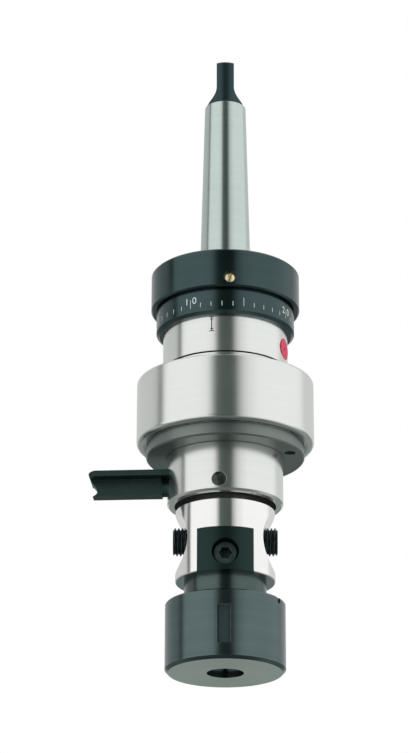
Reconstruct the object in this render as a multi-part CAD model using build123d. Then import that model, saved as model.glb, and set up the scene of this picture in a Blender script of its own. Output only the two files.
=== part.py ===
from build123d import *
import math
import os

# Reversing tapping head with a Morse taper shank.
# Origin on the axis at the gauge plane of the taper, +Z towards the tang, the front is -Y.
# Lengths are millimetres. Azimuths are degrees from the front, growing towards +X.

os.makedirs("parts", exist_ok=True)

# Fits and gaps: running fits, press seats, faces that stay just apart, and loose room
RUN_CLEAR = 0.05
SEAT_CLEAR = 0.02
FACE_GAP = 0.1
LOOSE = 0.3

# Morse taper No. 2 with tang
TAPER_GAUGE_D = 17.78
TAPER_RATE = 0.04995
TAPER_LARGE_LEN = 5.0
TANG_TIP_Z = 75.0
GROUND_TAPER_TOP_Z = 58.4
TANG_THICKNESS = 6.3
TANG_WIDTH_R = 6.6
TANG_FLAT_LEN = 10.0
TANG_FILLET_R = 6.0
TANG_TIP_CHAMFER = 0.8

# Stack of heights, from the gauge plane down to the nut
GAUGE_TO_RING = 8.2
RING_HEIGHT = 14.0
SCALE_HEIGHT = 9.2
SLEEVE_BELOW_SCALE = 13.6
NECK_TO_BODY = 4.3
BODY_HEIGHT = 23.3
COVER_HEIGHT = 4.6
STOP_SLEEVE_HEIGHT = 17.3
FLOAT_GAP = 1.9
SPINDLE_HEIGHT = 25.4
NECK_HEIGHT = 7.6
NUT_HEIGHT = 24.0
RING_TOP_Z = -GAUGE_TO_RING
RING_BOTTOM_Z = RING_TOP_Z - RING_HEIGHT
SCALE_BOTTOM_Z = RING_BOTTOM_Z - SCALE_HEIGHT
SLEEVE_SEAM_Z = SCALE_BOTTOM_Z - SLEEVE_BELOW_SCALE
BODY_TOP_Z = SLEEVE_SEAM_Z - NECK_TO_BODY
BODY_BOTTOM_Z = BODY_TOP_Z - BODY_HEIGHT
COVER_BOTTOM_Z = BODY_BOTTOM_Z - COVER_HEIGHT
STOP_BOTTOM_Z = COVER_BOTTOM_Z - STOP_SLEEVE_HEIGHT
SPINDLE_TOP_Z = STOP_BOTTOM_Z - FLOAT_GAP
SPINDLE_BOTTOM_Z = SPINDLE_TOP_Z - SPINDLE_HEIGHT
NUT_TOP_Z = SPINDLE_BOTTOM_Z - NECK_HEIGHT
NUT_BOTTOM_Z = NUT_TOP_Z - NUT_HEIGHT

# Outer radii
RING_R = 26.3
SCALE_R = 24.4
SLEEVE_R = 22.0
BODY_R = 31.0
COVER_R = 27.6
STOP_SLEEVE_R = 20.1
SPINDLE_R = 17.2
NECK_R = 14.15
NUT_R = 20.6

# Adjusting ring, scale ring and the sleeve inside them
RING_CAP = 2.0
RING_EDGE = 0.6
RING_RELIEF_R = 23.6
SHANK_COLLAR_R = 9.0
ARBOR_R = 8.9
FLANGE_R = 20.0
FLANGE_THICKNESS = 3.0
SLEEVE_BORE_R = 18.0
SLEEVE_FLOOR = 3.0
SEAM_EDGE = 0.15
SEAM_GROOVE_DEPTH = 0.6
SEAM_GROOVE_HEIGHT = 0.45
SCALE_NECK = 0.7
SCALE_BEVEL = 1.0
SCALE_LIP = 1.2
SNAP_RING_THICKNESS = 1.2
SNAP_RING_R = 23.2
SNAP_POCKET_R = 23.4
SNAP_GROOVE_DEPTH = 0.8
SNAP_GAP_AZIMUTH = 200.0
SLEEVE_TOP_Z = RING_TOP_Z - RING_CAP - FACE_GAP
FLANGE_BOTTOM_Z = SLEEVE_TOP_Z - FLANGE_THICKNESS
FLOOR_Z = SLEEVE_SEAM_Z + SLEEVE_FLOOR
SNAP_RING_Z = RING_BOTTOM_Z - SNAP_RING_THICKNESS / 2

# Brass lock screw in the adjusting ring, red plug in the sleeve
LOCK_SCREW_AZIMUTH = 3.7
LOCK_SCREW_R = 2.1
LOCK_SCREW_TIP_R = 1.4
LOCK_SCREW_RISE = 3.4
LOCK_SCREW_SINK = 0.35
LOCK_SCREW_TILT = 83.0
LOCK_SCREW_DOME_R = 4.0
LOCK_SCREW_Z = RING_BOTTOM_Z + LOCK_SCREW_RISE
SCREW_SLOT_WIDTH = 0.7
SCREW_SLOT_DEPTH = 0.8
RED_PLUG_AZIMUTH = 71.0
RED_PLUG_DROP = 7.1
RED_PLUG_R = 3.8
RED_PLUG_HOLE_R = 0.5
RED_PLUG_DEPTH = 1.6
RED_PLUG_Z = SCALE_BOTTOM_Z - RED_PLUG_DROP

# Pressure ring with lugs, and its travel as the torque is set
LUG_COUNT = 3
LUG_START = 60.0
LUG_WIDTH = 8.0
LUG_HEIGHT = 2.5
TORQUE_UP = 0.45
TORQUE_DOWN = 0.675
PRESSURE_TOP_Z = FLANGE_BOTTOM_Z - TORQUE_UP - FACE_GAP
PRESSURE_BOTTOM_Z = PRESSURE_TOP_Z - LUG_HEIGHT

# Disc springs and slipping clutch
DISC_SPRING_COUNT = 5
DISC_SPRING_THICKNESS = 1.0
DISC_SPRING_CONE = 0.85
DISC_SPRING_R = 17.2
CLUTCH_PAIRS = 5
CLUTCH_DISC = 1.4
CLUTCH_SLIP = 0.05
CLUTCH_KEY_COUNT = 4
CLUTCH_KEY_WIDTH = 3.0
CLUTCH_KEY_DEPTH = 1.2
KEY_START = 0.0
HUB_R = 12.6
HUB_RISE = 1.0
PILOT_R = 4.0
PILOT_DEPTH = 6.5
PRESSURE_PLATE_TOP_Z = PRESSURE_BOTTOM_Z - DISC_SPRING_COUNT * (DISC_SPRING_THICKNESS + DISC_SPRING_CONE)
CLUTCH_STACK_TOP_Z = FLOOR_Z + (2 * CLUTCH_PAIRS - 1) * CLUTCH_DISC
HUB_TOP_Z = CLUTCH_STACK_TOP_Z + HUB_RISE
ARBOR_BOTTOM_Z = HUB_TOP_Z + LOOSE
PILOT_BOTTOM_Z = HUB_TOP_Z - PILOT_DEPTH
SPRING_ROOF_Z = PILOT_BOTTOM_Z - 1.0

# Screws from the sleeve's floor into the body
JOINT_SCREW_COUNT = 6
JOINT_SCREW_START = 30.0
JOINT_SCREW_PITCH_R = 15.75
JOINT_SCREW_R = 1.0
JOINT_SCREW_HEAD = 1.1
JOINT_SCREW_LEN = 9.0
JOINT_SCREW_TIP_Z = FLOOR_Z - JOINT_SCREW_LEN

# Large body, driver tube and its bush
BODY_ROOF = 4.6
BODY_BORE_R = 26.6
BODY_EDGE = 1.5
BODY_TOP_EDGE = 0.8
BODY_GROOVE_WIDTH = 1.1
BODY_GROOVE_DEPTH = 1.6
DRIVER_R = 12.0
FLOOR_BORE_R = 13.5
DRIVER_PROUD = 0.3
CLIP_THICKNESS = 1.0
CLIP_DEPTH = 0.8
CLIP_WALL = 1.3
ROOF_BOTTOM_Z = BODY_TOP_Z - BODY_ROOF
DRIVER_BOTTOM_Z = ROOF_BOTTOM_Z - DRIVER_PROUD
CLIP_Z = ROOF_BOTTOM_Z + FACE_GAP
BUSH_BOTTOM_Z = CLIP_Z + CLIP_THICKNESS + FACE_GAP

# Planetary reversing gear
GEAR_MODULE = 0.8
RING_TEETH = 54
SUN_TEETH = 30
PLANET_TEETH = 12
PLANET_COUNT = 3
PLANET_START = 90.0
PRESSURE_ANGLE = 25.0
TOOTH_ADDENDUM = 0.8
TOOTH_DEDENDUM = 1.1
TOOTH_BACKLASH = 0.07
GEAR_WIDTH = 9.0
GEAR_ROOF_GAP = 0.6
PLANET_PIN_R = 2.0
PLANET_ORBIT_R = GEAR_MODULE * (SUN_TEETH + PLANET_TEETH) / 2
GEAR_TOP_Z = ROOF_BOTTOM_Z - GEAR_ROOF_GAP
GEAR_BOTTOM_Z = GEAR_TOP_Z - GEAR_WIDTH

# Carrier plate under the gears, and the sun's hub and bush in it
CARRIER_R = 20.4
CARRIER_PLATE = 3.0
CARRIER_HUB_LEN = 7.0
SUN_HUB_R = 10.6
SUN_HUB_LEN = 5.9
SUN_BUSH_R = 12.0
CARRIER_TOP_Z = GEAR_BOTTOM_Z - LOOSE
CARRIER_BOTTOM_Z = CARRIER_TOP_Z - CARRIER_PLATE
HUB_END_Z = CARRIER_BOTTOM_Z - CARRIER_HUB_LEN
SUN_HUB_BOTTOM_Z = GEAR_BOTTOM_Z - SUN_HUB_LEN

# Ball bearing 35 x 47 x 7 between the cover and the stop sleeve
BEARING_BORE_R = 17.5
BEARING_OUTER_R = 23.5
BEARING_WIDTH = 7.0
BALL_R = 1.985
BALL_COUNT = 14
RACE_LIP = 0.45
COVER_LIP = 3.0
COVER_EDGE = 0.5
COVER_HOLE_R = 1.95
COVER_HOLE_PITCH_R = 23.6
COVER_HOLE_DEPTH = 2.2
COVER_HOLE_AZIMUTH = 71.0
SEAL_WALL = 0.45
SEAL_PROUD = 0.2
SEAL_HEIGHT = 1.6
BALL_PITCH_R = (BEARING_BORE_R + BEARING_OUTER_R) / 2
BEARING_BOTTOM_Z = COVER_BOTTOM_Z + COVER_LIP
BEARING_TOP_Z = BEARING_BOTTOM_Z + BEARING_WIDTH
BEARING_MID_Z = BEARING_BOTTOM_Z + BEARING_WIDTH / 2

# Stop sleeve with its bush, wiper and slotted screw
JOURNAL_BORE_R = 15.5
SHOULDER_R = 19.2
SHOULDER_DROP = 0.6
STOP_EDGE = 0.7
COUNTERBORE_R = 17.6
COUNTERBORE_DEPTH = 2.4
WIPER_HEIGHT = 1.6
WIPER_SINK = 0.5
SET_SCREW_AZIMUTH = -6.2
SET_SCREW_RISE = 3.9
SET_SCREW_R = 2.5
SET_SCREW_TILT = 12.0
SCREW_SINK = 0.3
SHOULDER_Z = BEARING_BOTTOM_Z - SHOULDER_DROP
SET_SCREW_Z = STOP_BOTTOM_Z + SET_SCREW_RISE
WIPER_BOTTOM_Z = STOP_BOTTOM_Z + COUNTERBORE_DEPTH
WIPER_TOP_Z = WIPER_BOTTOM_Z + WIPER_HEIGHT

# Stop arm: a tee section along a radius, saddled on the sleeve
ARM_AZIMUTH = -93.5
ARM_LENGTH_R = 47.0
ARM_DROP = 5.15
ARM_HEIGHT = 7.95
ARM_FLANGE = 2.0
ARM_FLANGE_HALF = 6.8
ARM_WEB_HALF = 2.3
ARM_INNER_R = 21.9
ARM_NOSE = 2.0
ARM_NOSE_DROP = 1.6
ARM_HOLLOW = 2.6
ARM_HORN = 1.6
ARM_HORN_RISE = 1.9
ARM_COLLAR_R = 2.9
ARM_THREAD_R = 1.7
ARM_THREAD_LEN = 6.0
ARM_TOP_Z = COVER_BOTTOM_Z - ARM_DROP
ARM_BOTTOM_Z = ARM_TOP_Z - ARM_HEIGHT
ARM_STUD_Z = ARM_BOTTOM_Z + (ARM_HEIGHT - ARM_FLANGE) / 2

# Spindle with its splined stem, float and coil spring
FLOAT_UP = 2.0
SPINDLE_JOURNAL_R = 14.0
SPINDLE_EDGE = 0.3
STEM_R = 7.0
SPLINE_R = 9.2
SPLINE_COUNT = 20
SPLINE_WIDTH = 1.2
SPLINE_LEN = 4.0
DRIVER_SPLINE_BOTTOM_Z = DRIVER_BOTTOM_Z + 1.8
SPLINE_TOP_Z = DRIVER_SPLINE_BOTTOM_Z + SPLINE_LEN
DRIVER_SPLINE_TOP_Z = SPLINE_TOP_Z + FLOAT_UP + LOOSE
SUN_SPLINE_TOP_Z = DRIVER_SPLINE_BOTTOM_Z - SPLINE_LEN - 2 * FACE_GAP
JOURNAL_TOP_Z = HUB_END_Z - FLOAT_UP - 2 * LOOSE
STOP_BUSH_TOP_Z = HUB_END_Z - LOOSE
SPRING_WIRE_WIDTH = 1.6
SPRING_WIRE_HEIGHT = 1.3
SPRING_MEAN_R = 5.2
SPRING_TURNS = 5

# Side scallops with their studs, cross slot and collet holder
SCALLOP_FLOOR_R = 12.9
SCALLOP_CUT_R = 16.0
SCALLOP_DROP = 11.9
STUD_DROP = 10.7
STUD_R = 4.9
STUD_END_R = 18.0
BLOCK_WIDTH = 19.2
BLOCK_DROP = 10.2
HOLDER_SHANK_LEN = 8.0
CLAMP_DROP = 8.7
CLAMP_SCREW_R = 4.4
CLAMP_END_R = 14.6
CLAMP_TIP_R = 7.0
CLAMP_BORE_R = 4.6
SCREW_SOCKET = 4.0
SCREW_SOCKET_DEPTH = 4.0
SCREW_CHAMFER = 0.6
SCREW_POINT = 1.2
TAP_BORE_R = 6.2
TAP_END_WALL = 2.0
SCALLOP_Z = SPINDLE_TOP_Z - SCALLOP_DROP
STUD_Z = SPINDLE_TOP_Z - STUD_DROP
BLOCK_TOP_Z = SPINDLE_TOP_Z - BLOCK_DROP
CLAMP_Z = BLOCK_TOP_Z - CLAMP_DROP
HOLDER_TOP_Z = BLOCK_TOP_Z + HOLDER_SHANK_LEN
HOLDER_SHANK_R = BLOCK_WIDTH / 2

# Threaded nose, collet and nut
NOSE_R = 14.0
NOSE_EDGE = 0.8
NOSE_LEN = 18.0
NECK_RELIEF = 0.5
NUT_FLOOR = 3.0
NUT_HOLE_R = 6.35
NUT_EDGE = 1.1
NUT_TOP_EDGE = 0.5
NUT_THREAD_LEAD = 1.0
NUT_SLOT_COUNT = 3
NUT_SLOT_AZIMUTH = -1.4
NUT_SLOT_WIDTH = 4.6
NUT_SLOT_HEIGHT = 13.4
NUT_SLOT_DROP = 12.0
NUT_SLOT_DEPTH = 1.7
NUT_NOTCH_R = 1.25
NUT_NOTCH_DEPTH = 2.2
NUT_NOTCH_INSET = 0.9
NUT_NOTCH_AZIMUTH = 61.6
COLLET_BORE_R = 4.5
COLLET_BODY_R = 10.8
COLLET_TAPER = 0.14
COLLET_FACE_R = 8.6
COLLET_SLITS = 6
COLLET_SLIT_WIDTH = 0.8
COLLET_TOP_WALL = 3.0
COLLET_ABOVE_NOSE = 14.0
NOSE_BOTTOM_Z = NUT_TOP_Z - NOSE_LEN
NUT_SLOT_Z = NUT_TOP_Z - NUT_SLOT_DROP
COLLET_BOTTOM_Z = NUT_BOTTOM_Z + NUT_FLOOR
COLLET_CONE_TOP_Z = COLLET_BOTTOM_Z + (COLLET_BODY_R - COLLET_FACE_R) / 1.2
COLLET_TOP_Z = NOSE_BOTTOM_Z + COLLET_ABOVE_NOSE


def turned(*points):
    """Full turn of a closed outline given as (radius, height) pairs."""
    outline = Polyline(*[(r, 0, z) for r, z in points], close=True)
    return revolve(make_face(outline), Axis.Z)


def ring(outer, inner, low, high):
    """Plain ring between two heights."""
    return turned((inner, low), (outer, low), (outer, high), (inner, high))


def spot(azimuth, radius, z):
    """Point at an azimuth that counts from the front towards +X."""
    a = math.radians(azimuth)
    return (radius * math.sin(a), -radius * math.cos(a), z)


def outward(azimuth, radius, z):
    """Plane square to a radius: local X is level, local Y is up, local Z points out."""
    a = math.radians(azimuth)
    side = (math.cos(a), math.sin(a), 0)
    out = (math.sin(a), -math.cos(a), 0)
    return Plane(origin=spot(azimuth, radius, z), x_dir=side, z_dir=out)


def radial_rod(azimuth, rod_r, inner, outer, z):
    """Cylinder along a radius."""
    rod = Cylinder(rod_r, outer - inner, align=(Align.CENTER, Align.CENTER, Align.MIN))
    return outward(azimuth, inner, z) * rod


def radial_bar(azimuth, width, height, inner, outer, z):
    """Square bar along a radius, centred on its height."""
    bar = Box(width, height, outer - inner, align=(Align.CENTER, Align.CENTER, Align.MIN))
    return outward(azimuth, inner, z) * bar


def azimuths(count, start=0.0):
    return [start + 360.0 * k / count for k in range(count)]


def group(pieces):
    return Compound(children=list(pieces))


def taper_r(z):
    return (TAPER_GAUGE_D - TAPER_RATE * z) / 2


def shank():
    """Morse taper with its tang, collar, flange and the arbor that guides the springs."""
    tang_z = TANG_TIP_Z - TANG_FLAT_LEN
    body = turned(
        (0, PILOT_BOTTOM_Z),
        (PILOT_R, PILOT_BOTTOM_Z),
        (PILOT_R, ARBOR_BOTTOM_Z),
        (ARBOR_R, ARBOR_BOTTOM_Z),
        (ARBOR_R, FLANGE_BOTTOM_Z),
        (FLANGE_R - SEAT_CLEAR, FLANGE_BOTTOM_Z),
        (FLANGE_R - SEAT_CLEAR, SLEEVE_TOP_Z),
        (SHANK_COLLAR_R, SLEEVE_TOP_Z),
        (SHANK_COLLAR_R, -TAPER_LARGE_LEN),
        (taper_r(-TAPER_LARGE_LEN), -TAPER_LARGE_LEN),
        (taper_r(GROUND_TAPER_TOP_Z), GROUND_TAPER_TOP_Z),
        (TANG_WIDTH_R, GROUND_TAPER_TOP_Z + TANG_TIP_CHAMFER),
        (TANG_WIDTH_R, TANG_TIP_Z - TANG_TIP_CHAMFER),
        (TANG_WIDTH_R - TANG_TIP_CHAMFER, TANG_TIP_Z),
        (0, TANG_TIP_Z),
    )
    half = TANG_THICKNESS / 2
    far = half + TANG_FILLET_R
    fillet_mid = TANG_FILLET_R * math.sqrt(0.5)
    outline = Polyline((half, 0, tang_z), (half, 0, TANG_TIP_Z + 1), (far + 2, 0, TANG_TIP_Z + 1),
                       (far + 2, 0, tang_z - TANG_FILLET_R), (far, 0, tang_z - TANG_FILLET_R))
    fillet_arc = ThreePointArc((far, 0, tang_z - TANG_FILLET_R),
                               (far - fillet_mid, 0, tang_z - fillet_mid), (half, 0, tang_z))
    flat = extrude(make_face([outline, fillet_arc]), TANG_WIDTH_R + 3, dir=(0, 1, 0), both=True)
    return body - flat - mirror(flat, Plane.YZ)


def upper_sleeve():
    """Bright sleeve that takes the clutch, the springs and the lugs of the pressure ring."""
    body = turned(
        (FLOOR_BORE_R, SLEEVE_SEAM_Z),
        (SLEEVE_R - SEAM_GROOVE_DEPTH, SLEEVE_SEAM_Z),
        (SLEEVE_R - SEAM_GROOVE_DEPTH, SLEEVE_SEAM_Z + SEAM_GROOVE_HEIGHT),
        (SLEEVE_R, SLEEVE_SEAM_Z + SEAM_GROOVE_HEIGHT),
        (SLEEVE_R, SLEEVE_TOP_Z),
        (FLANGE_R, SLEEVE_TOP_Z),
        (FLANGE_R, FLANGE_BOTTOM_Z),
        (SLEEVE_BORE_R, FLANGE_BOTTOM_Z),
        (SLEEVE_BORE_R, FLOOR_Z),
        (FLOOR_BORE_R, FLOOR_Z),
    )
    slot_height = LUG_HEIGHT + TORQUE_UP + TORQUE_DOWN + 2 * LOOSE
    slot_z = PRESSURE_BOTTOM_Z - TORQUE_DOWN - LOOSE + slot_height / 2
    for azimuth in azimuths(LUG_COUNT, LUG_START):
        body -= radial_bar(azimuth, LUG_WIDTH + 2 * FACE_GAP, slot_height, ARBOR_R, SLEEVE_R + 1, slot_z)
    key_height = FLANGE_BOTTOM_Z - FLOOR_Z
    for azimuth in azimuths(CLUTCH_KEY_COUNT, KEY_START):
        body -= radial_bar(azimuth, CLUTCH_KEY_WIDTH + 2 * FACE_GAP, key_height,
                           SLEEVE_BORE_R - 1, SLEEVE_BORE_R + CLUTCH_KEY_DEPTH, FLOOR_Z + key_height / 2)
    groove_z = SNAP_RING_Z - FACE_GAP / 2
    body -= ring(SLEEVE_R + 1, SLEEVE_R - SNAP_GROOVE_DEPTH, groove_z,
                 groove_z + SNAP_RING_THICKNESS + FACE_GAP)
    body -= radial_rod(RED_PLUG_AZIMUTH, RED_PLUG_R, SLEEVE_R - RED_PLUG_DEPTH, SLEEVE_R + 1, RED_PLUG_Z)
    for azimuth in azimuths(JOINT_SCREW_COUNT, JOINT_SCREW_START):
        body -= joint_screw(azimuth, SEAT_CLEAR)
    return body


def joint_screw(azimuth, extra=0.0):
    """Countersunk screw that holds the sleeve's floor on the body."""
    x, y, _ = spot(azimuth, JOINT_SCREW_PITCH_R, 0)
    screw = turned(
        (0, JOINT_SCREW_TIP_Z - extra),
        (JOINT_SCREW_R + extra, JOINT_SCREW_TIP_Z - extra),
        (JOINT_SCREW_R + extra, FLOOR_Z - JOINT_SCREW_HEAD),
        (2 * JOINT_SCREW_R + extra, FLOOR_Z - FACE_GAP),
        (2 * JOINT_SCREW_R + extra, FLOOR_Z),
        (0, FLOOR_Z),
    )
    return Pos(x, y, 0) * screw


def joint_screws():
    socket = Pos(0, 0, FLOOR_Z - JOINT_SCREW_HEAD / 2) * extrude(RegularPolygon(JOINT_SCREW_R * 0.6, 6), 3)
    screws = []
    for azimuth in azimuths(JOINT_SCREW_COUNT, JOINT_SCREW_START):
        x, y, _ = spot(azimuth, JOINT_SCREW_PITCH_R, 0)
        screws.append(joint_screw(azimuth) - Pos(x, y, 0) * socket)
    return group(screws)


def red_plug():
    plug = radial_rod(RED_PLUG_AZIMUTH, RED_PLUG_R - SEAT_CLEAR, SLEEVE_R - RED_PLUG_DEPTH + SEAT_CLEAR,
                      SLEEVE_R, RED_PLUG_Z)
    return plug - radial_rod(RED_PLUG_AZIMUTH, RED_PLUG_HOLE_R, SLEEVE_R - RED_PLUG_DEPTH / 2,
                             SLEEVE_R + 1, RED_PLUG_Z)


def adjusting_ring():
    """Black cap ring with the relief for the lugs and the lock screw's hole."""
    relief_top = SLEEVE_TOP_Z - FLANGE_THICKNESS
    relief_bottom = PRESSURE_BOTTOM_Z - TORQUE_DOWN - LOOSE / 2
    bore = SLEEVE_R + RUN_CLEAR
    body = turned(
        (bore, SNAP_RING_Z + SNAP_RING_THICKNESS + FACE_GAP),
        (SNAP_POCKET_R, SNAP_RING_Z + SNAP_RING_THICKNESS + FACE_GAP),
        (SNAP_POCKET_R, RING_BOTTOM_Z),
        (RING_R - RING_EDGE, RING_BOTTOM_Z),
        (RING_R, RING_BOTTOM_Z + RING_EDGE),
        (RING_R, RING_TOP_Z - RING_EDGE),
        (RING_R - RING_EDGE, RING_TOP_Z),
        (SHANK_COLLAR_R + LOOSE, RING_TOP_Z),
        (SHANK_COLLAR_R + LOOSE, RING_TOP_Z - RING_CAP),
        (bore, RING_TOP_Z - RING_CAP),
        (bore, relief_top),
        (RING_RELIEF_R, relief_top),
        (RING_RELIEF_R, relief_bottom),
        (bore, relief_bottom),
    )
    hole = radial_rod(LOCK_SCREW_AZIMUTH, LOCK_SCREW_R + RUN_CLEAR, RING_RELIEF_R, RING_R + 1, LOCK_SCREW_Z)
    tip_hole = radial_rod(LOCK_SCREW_AZIMUTH, LOCK_SCREW_TIP_R + RUN_CLEAR, SLEEVE_R, RING_R, LOCK_SCREW_Z)
    return body - hole - tip_hole


def scale_ring():
    """Graduated ring, spigoted into the adjusting ring, with a bevel towards the sleeve."""
    bore = SLEEVE_R + RUN_CLEAR
    spigot_top = SNAP_RING_Z - FACE_GAP
    return turned(
        (bore, SCALE_BOTTOM_Z),
        (bore + SCALE_LIP, SCALE_BOTTOM_Z),
        (SCALE_R, SCALE_BOTTOM_Z + SCALE_BEVEL),
        (SCALE_R, RING_BOTTOM_Z - SCALE_NECK),
        (SCALE_R - SCALE_NECK, RING_BOTTOM_Z - SCALE_NECK),
        (SCALE_R - SCALE_NECK, RING_BOTTOM_Z),
        (SNAP_POCKET_R - SEAT_CLEAR, RING_BOTTOM_Z),
        (SNAP_POCKET_R - SEAT_CLEAR, spigot_top),
        (bore, spigot_top),
    )


def slotted(azimuth, screw, head_r, outer, z, tilt):
    """Cuts a screwdriver slot across the outer end of a radial screw."""
    slot = Box(2 * head_r + 1, SCREW_SLOT_WIDTH, 2 * SCREW_SLOT_DEPTH)
    return screw - outward(azimuth, outer, z) * (Rot(0, 0, tilt) * slot)


def lock_screw():
    outer = RING_R - LOCK_SCREW_SINK
    head = radial_rod(LOCK_SCREW_AZIMUTH, LOCK_SCREW_R, RING_RELIEF_R + SEAT_CLEAR, outer, LOCK_SCREW_Z)
    tip = radial_rod(LOCK_SCREW_AZIMUTH, LOCK_SCREW_TIP_R, SLEEVE_R + RUN_CLEAR, outer - 1, LOCK_SCREW_Z)
    dome = outward(LOCK_SCREW_AZIMUTH, outer - LOCK_SCREW_DOME_R, LOCK_SCREW_Z) * Sphere(LOCK_SCREW_DOME_R)
    screw = (head & dome) + tip
    return slotted(LOCK_SCREW_AZIMUTH, screw, LOCK_SCREW_R, outer, LOCK_SCREW_Z, LOCK_SCREW_TILT)


def snap_ring():
    """Ring that holds the adjusting ring on the sleeve, open at one place."""
    body = ring(SNAP_RING_R, SLEEVE_R - SNAP_GROOVE_DEPTH + SEAT_CLEAR, SNAP_RING_Z,
                SNAP_RING_Z + SNAP_RING_THICKNESS)
    return body - radial_bar(SNAP_GAP_AZIMUTH, 4.0, 4.0, SLEEVE_R - 3, SNAP_RING_R + 1, SNAP_RING_Z)


def pressure_ring():
    """Ring under the flange, moved by its three lugs, that loads the disc springs."""
    body = ring(SLEEVE_BORE_R - RUN_CLEAR, ARBOR_R + RUN_CLEAR, PRESSURE_BOTTOM_Z, PRESSURE_TOP_Z)
    mid = (PRESSURE_BOTTOM_Z + PRESSURE_TOP_Z) / 2
    rim = ring(RING_RELIEF_R - RUN_CLEAR, ARBOR_R + 2, PRESSURE_BOTTOM_Z, PRESSURE_TOP_Z)
    for azimuth in azimuths(LUG_COUNT, LUG_START):
        bar = radial_bar(azimuth, LUG_WIDTH, LUG_HEIGHT, ARBOR_R + 2, RING_R, mid)
        body += bar & rim
    return body


def disc_springs():
    """Coned washers, stacked rim to rim and eye to eye."""
    washers = []
    step = DISC_SPRING_THICKNESS + DISC_SPRING_CONE
    inner = ARBOR_R + FACE_GAP
    for k in range(DISC_SPRING_COUNT):
        top = PRESSURE_BOTTOM_Z - k * step
        rim_drop = 0.0 if k % 2 else DISC_SPRING_CONE
        eye_drop = DISC_SPRING_CONE - rim_drop
        washers.append(turned(
            (inner, top - eye_drop - DISC_SPRING_THICKNESS),
            (DISC_SPRING_R, top - rim_drop - DISC_SPRING_THICKNESS),
            (DISC_SPRING_R, top - rim_drop),
            (inner, top - eye_drop),
        ))
    return group(washers)


def keyed_plate(low, high):
    """Steel clutch plate with keys in the sleeve."""
    plate = ring(SLEEVE_BORE_R - FACE_GAP, HUB_R + LOOSE, low, high)
    rim = ring(SLEEVE_BORE_R + CLUTCH_KEY_DEPTH - FACE_GAP, HUB_R + 1, low, high)
    for azimuth in azimuths(CLUTCH_KEY_COUNT, KEY_START):
        key = radial_bar(azimuth, CLUTCH_KEY_WIDTH, high - low, HUB_R + 1, SLEEVE_R, (low + high) / 2)
        plate += key & rim
    return plate


def clutch_plates():
    plates = [keyed_plate(FLOOR_Z + (2 * k + 1) * CLUTCH_DISC,
                          FLOOR_Z + (2 * k + 2) * CLUTCH_DISC - CLUTCH_SLIP)
              for k in range(CLUTCH_PAIRS - 1)]
    return group(plates)


def pressure_plate():
    return keyed_plate(CLUTCH_STACK_TOP_Z, PRESSURE_PLATE_TOP_Z)


def friction_disc(k):
    """Lined disc with inner keys in the driver's hub."""
    low = FLOOR_Z + 2 * k * CLUTCH_DISC
    high = low + CLUTCH_DISC - CLUTCH_SLIP
    disc = ring(SLEEVE_BORE_R - LOOSE, HUB_R + RUN_CLEAR, low, high)
    for azimuth in azimuths(CLUTCH_KEY_COUNT):
        disc += radial_bar(azimuth, CLUTCH_KEY_WIDTH, high - low, HUB_R - CLUTCH_KEY_DEPTH + FACE_GAP,
                           HUB_R + 2, (low + high) / 2)
    return disc


def friction_discs():
    return group([friction_disc(k) for k in range(CLUTCH_PAIRS)])


def spline_bars(width, outer, low, high):
    return [radial_bar(azimuth, width, high - low, STEM_R - 1, outer, (low + high) / 2)
            for azimuth in azimuths(SPLINE_COUNT)]


def driver():
    """Driven hub of the clutch, a tube with splines for the spindle at its lower end."""
    bore = STEM_R + LOOSE
    body = turned(
        (PILOT_R + RUN_CLEAR, HUB_TOP_Z),
        (PILOT_R + RUN_CLEAR, SPRING_ROOF_Z),
        (bore, SPRING_ROOF_Z),
        (bore, DRIVER_SPLINE_BOTTOM_Z),
        (SPLINE_R + LOOSE, DRIVER_SPLINE_BOTTOM_Z),
        (SPLINE_R + LOOSE, DRIVER_BOTTOM_Z),
        (DRIVER_R, DRIVER_BOTTOM_Z),
        (DRIVER_R, FLOOR_Z + FACE_GAP),
        (HUB_R, FLOOR_Z + FACE_GAP),
        (HUB_R, HUB_TOP_Z),
    )
    for azimuth in azimuths(CLUTCH_KEY_COUNT):
        height = HUB_TOP_Z - FLOOR_Z + 1
        body -= radial_bar(azimuth, CLUTCH_KEY_WIDTH + 2 * FACE_GAP, height, HUB_R - CLUTCH_KEY_DEPTH,
                           HUB_R + 1, FLOOR_Z + height / 2)
    for bar in spline_bars(SPLINE_WIDTH + 2 * FACE_GAP, SPLINE_R + FACE_GAP,
                           DRIVER_SPLINE_BOTTOM_Z - 1, DRIVER_SPLINE_TOP_Z):
        body -= bar
    return body - ring(DRIVER_R + 1, DRIVER_R - CLIP_DEPTH, CLIP_Z - SEAT_CLEAR,
                       CLIP_Z + CLIP_THICKNESS + SEAT_CLEAR)


def driver_bush():
    return ring(FLOOR_BORE_R - SEAT_CLEAR, DRIVER_R + RUN_CLEAR, BUSH_BOTTOM_Z, FLOOR_Z)


def driver_clip():
    return ring(DRIVER_R + CLIP_WALL, DRIVER_R - CLIP_DEPTH + SEAT_CLEAR, CLIP_Z, CLIP_Z + CLIP_THICKNESS)


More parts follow.
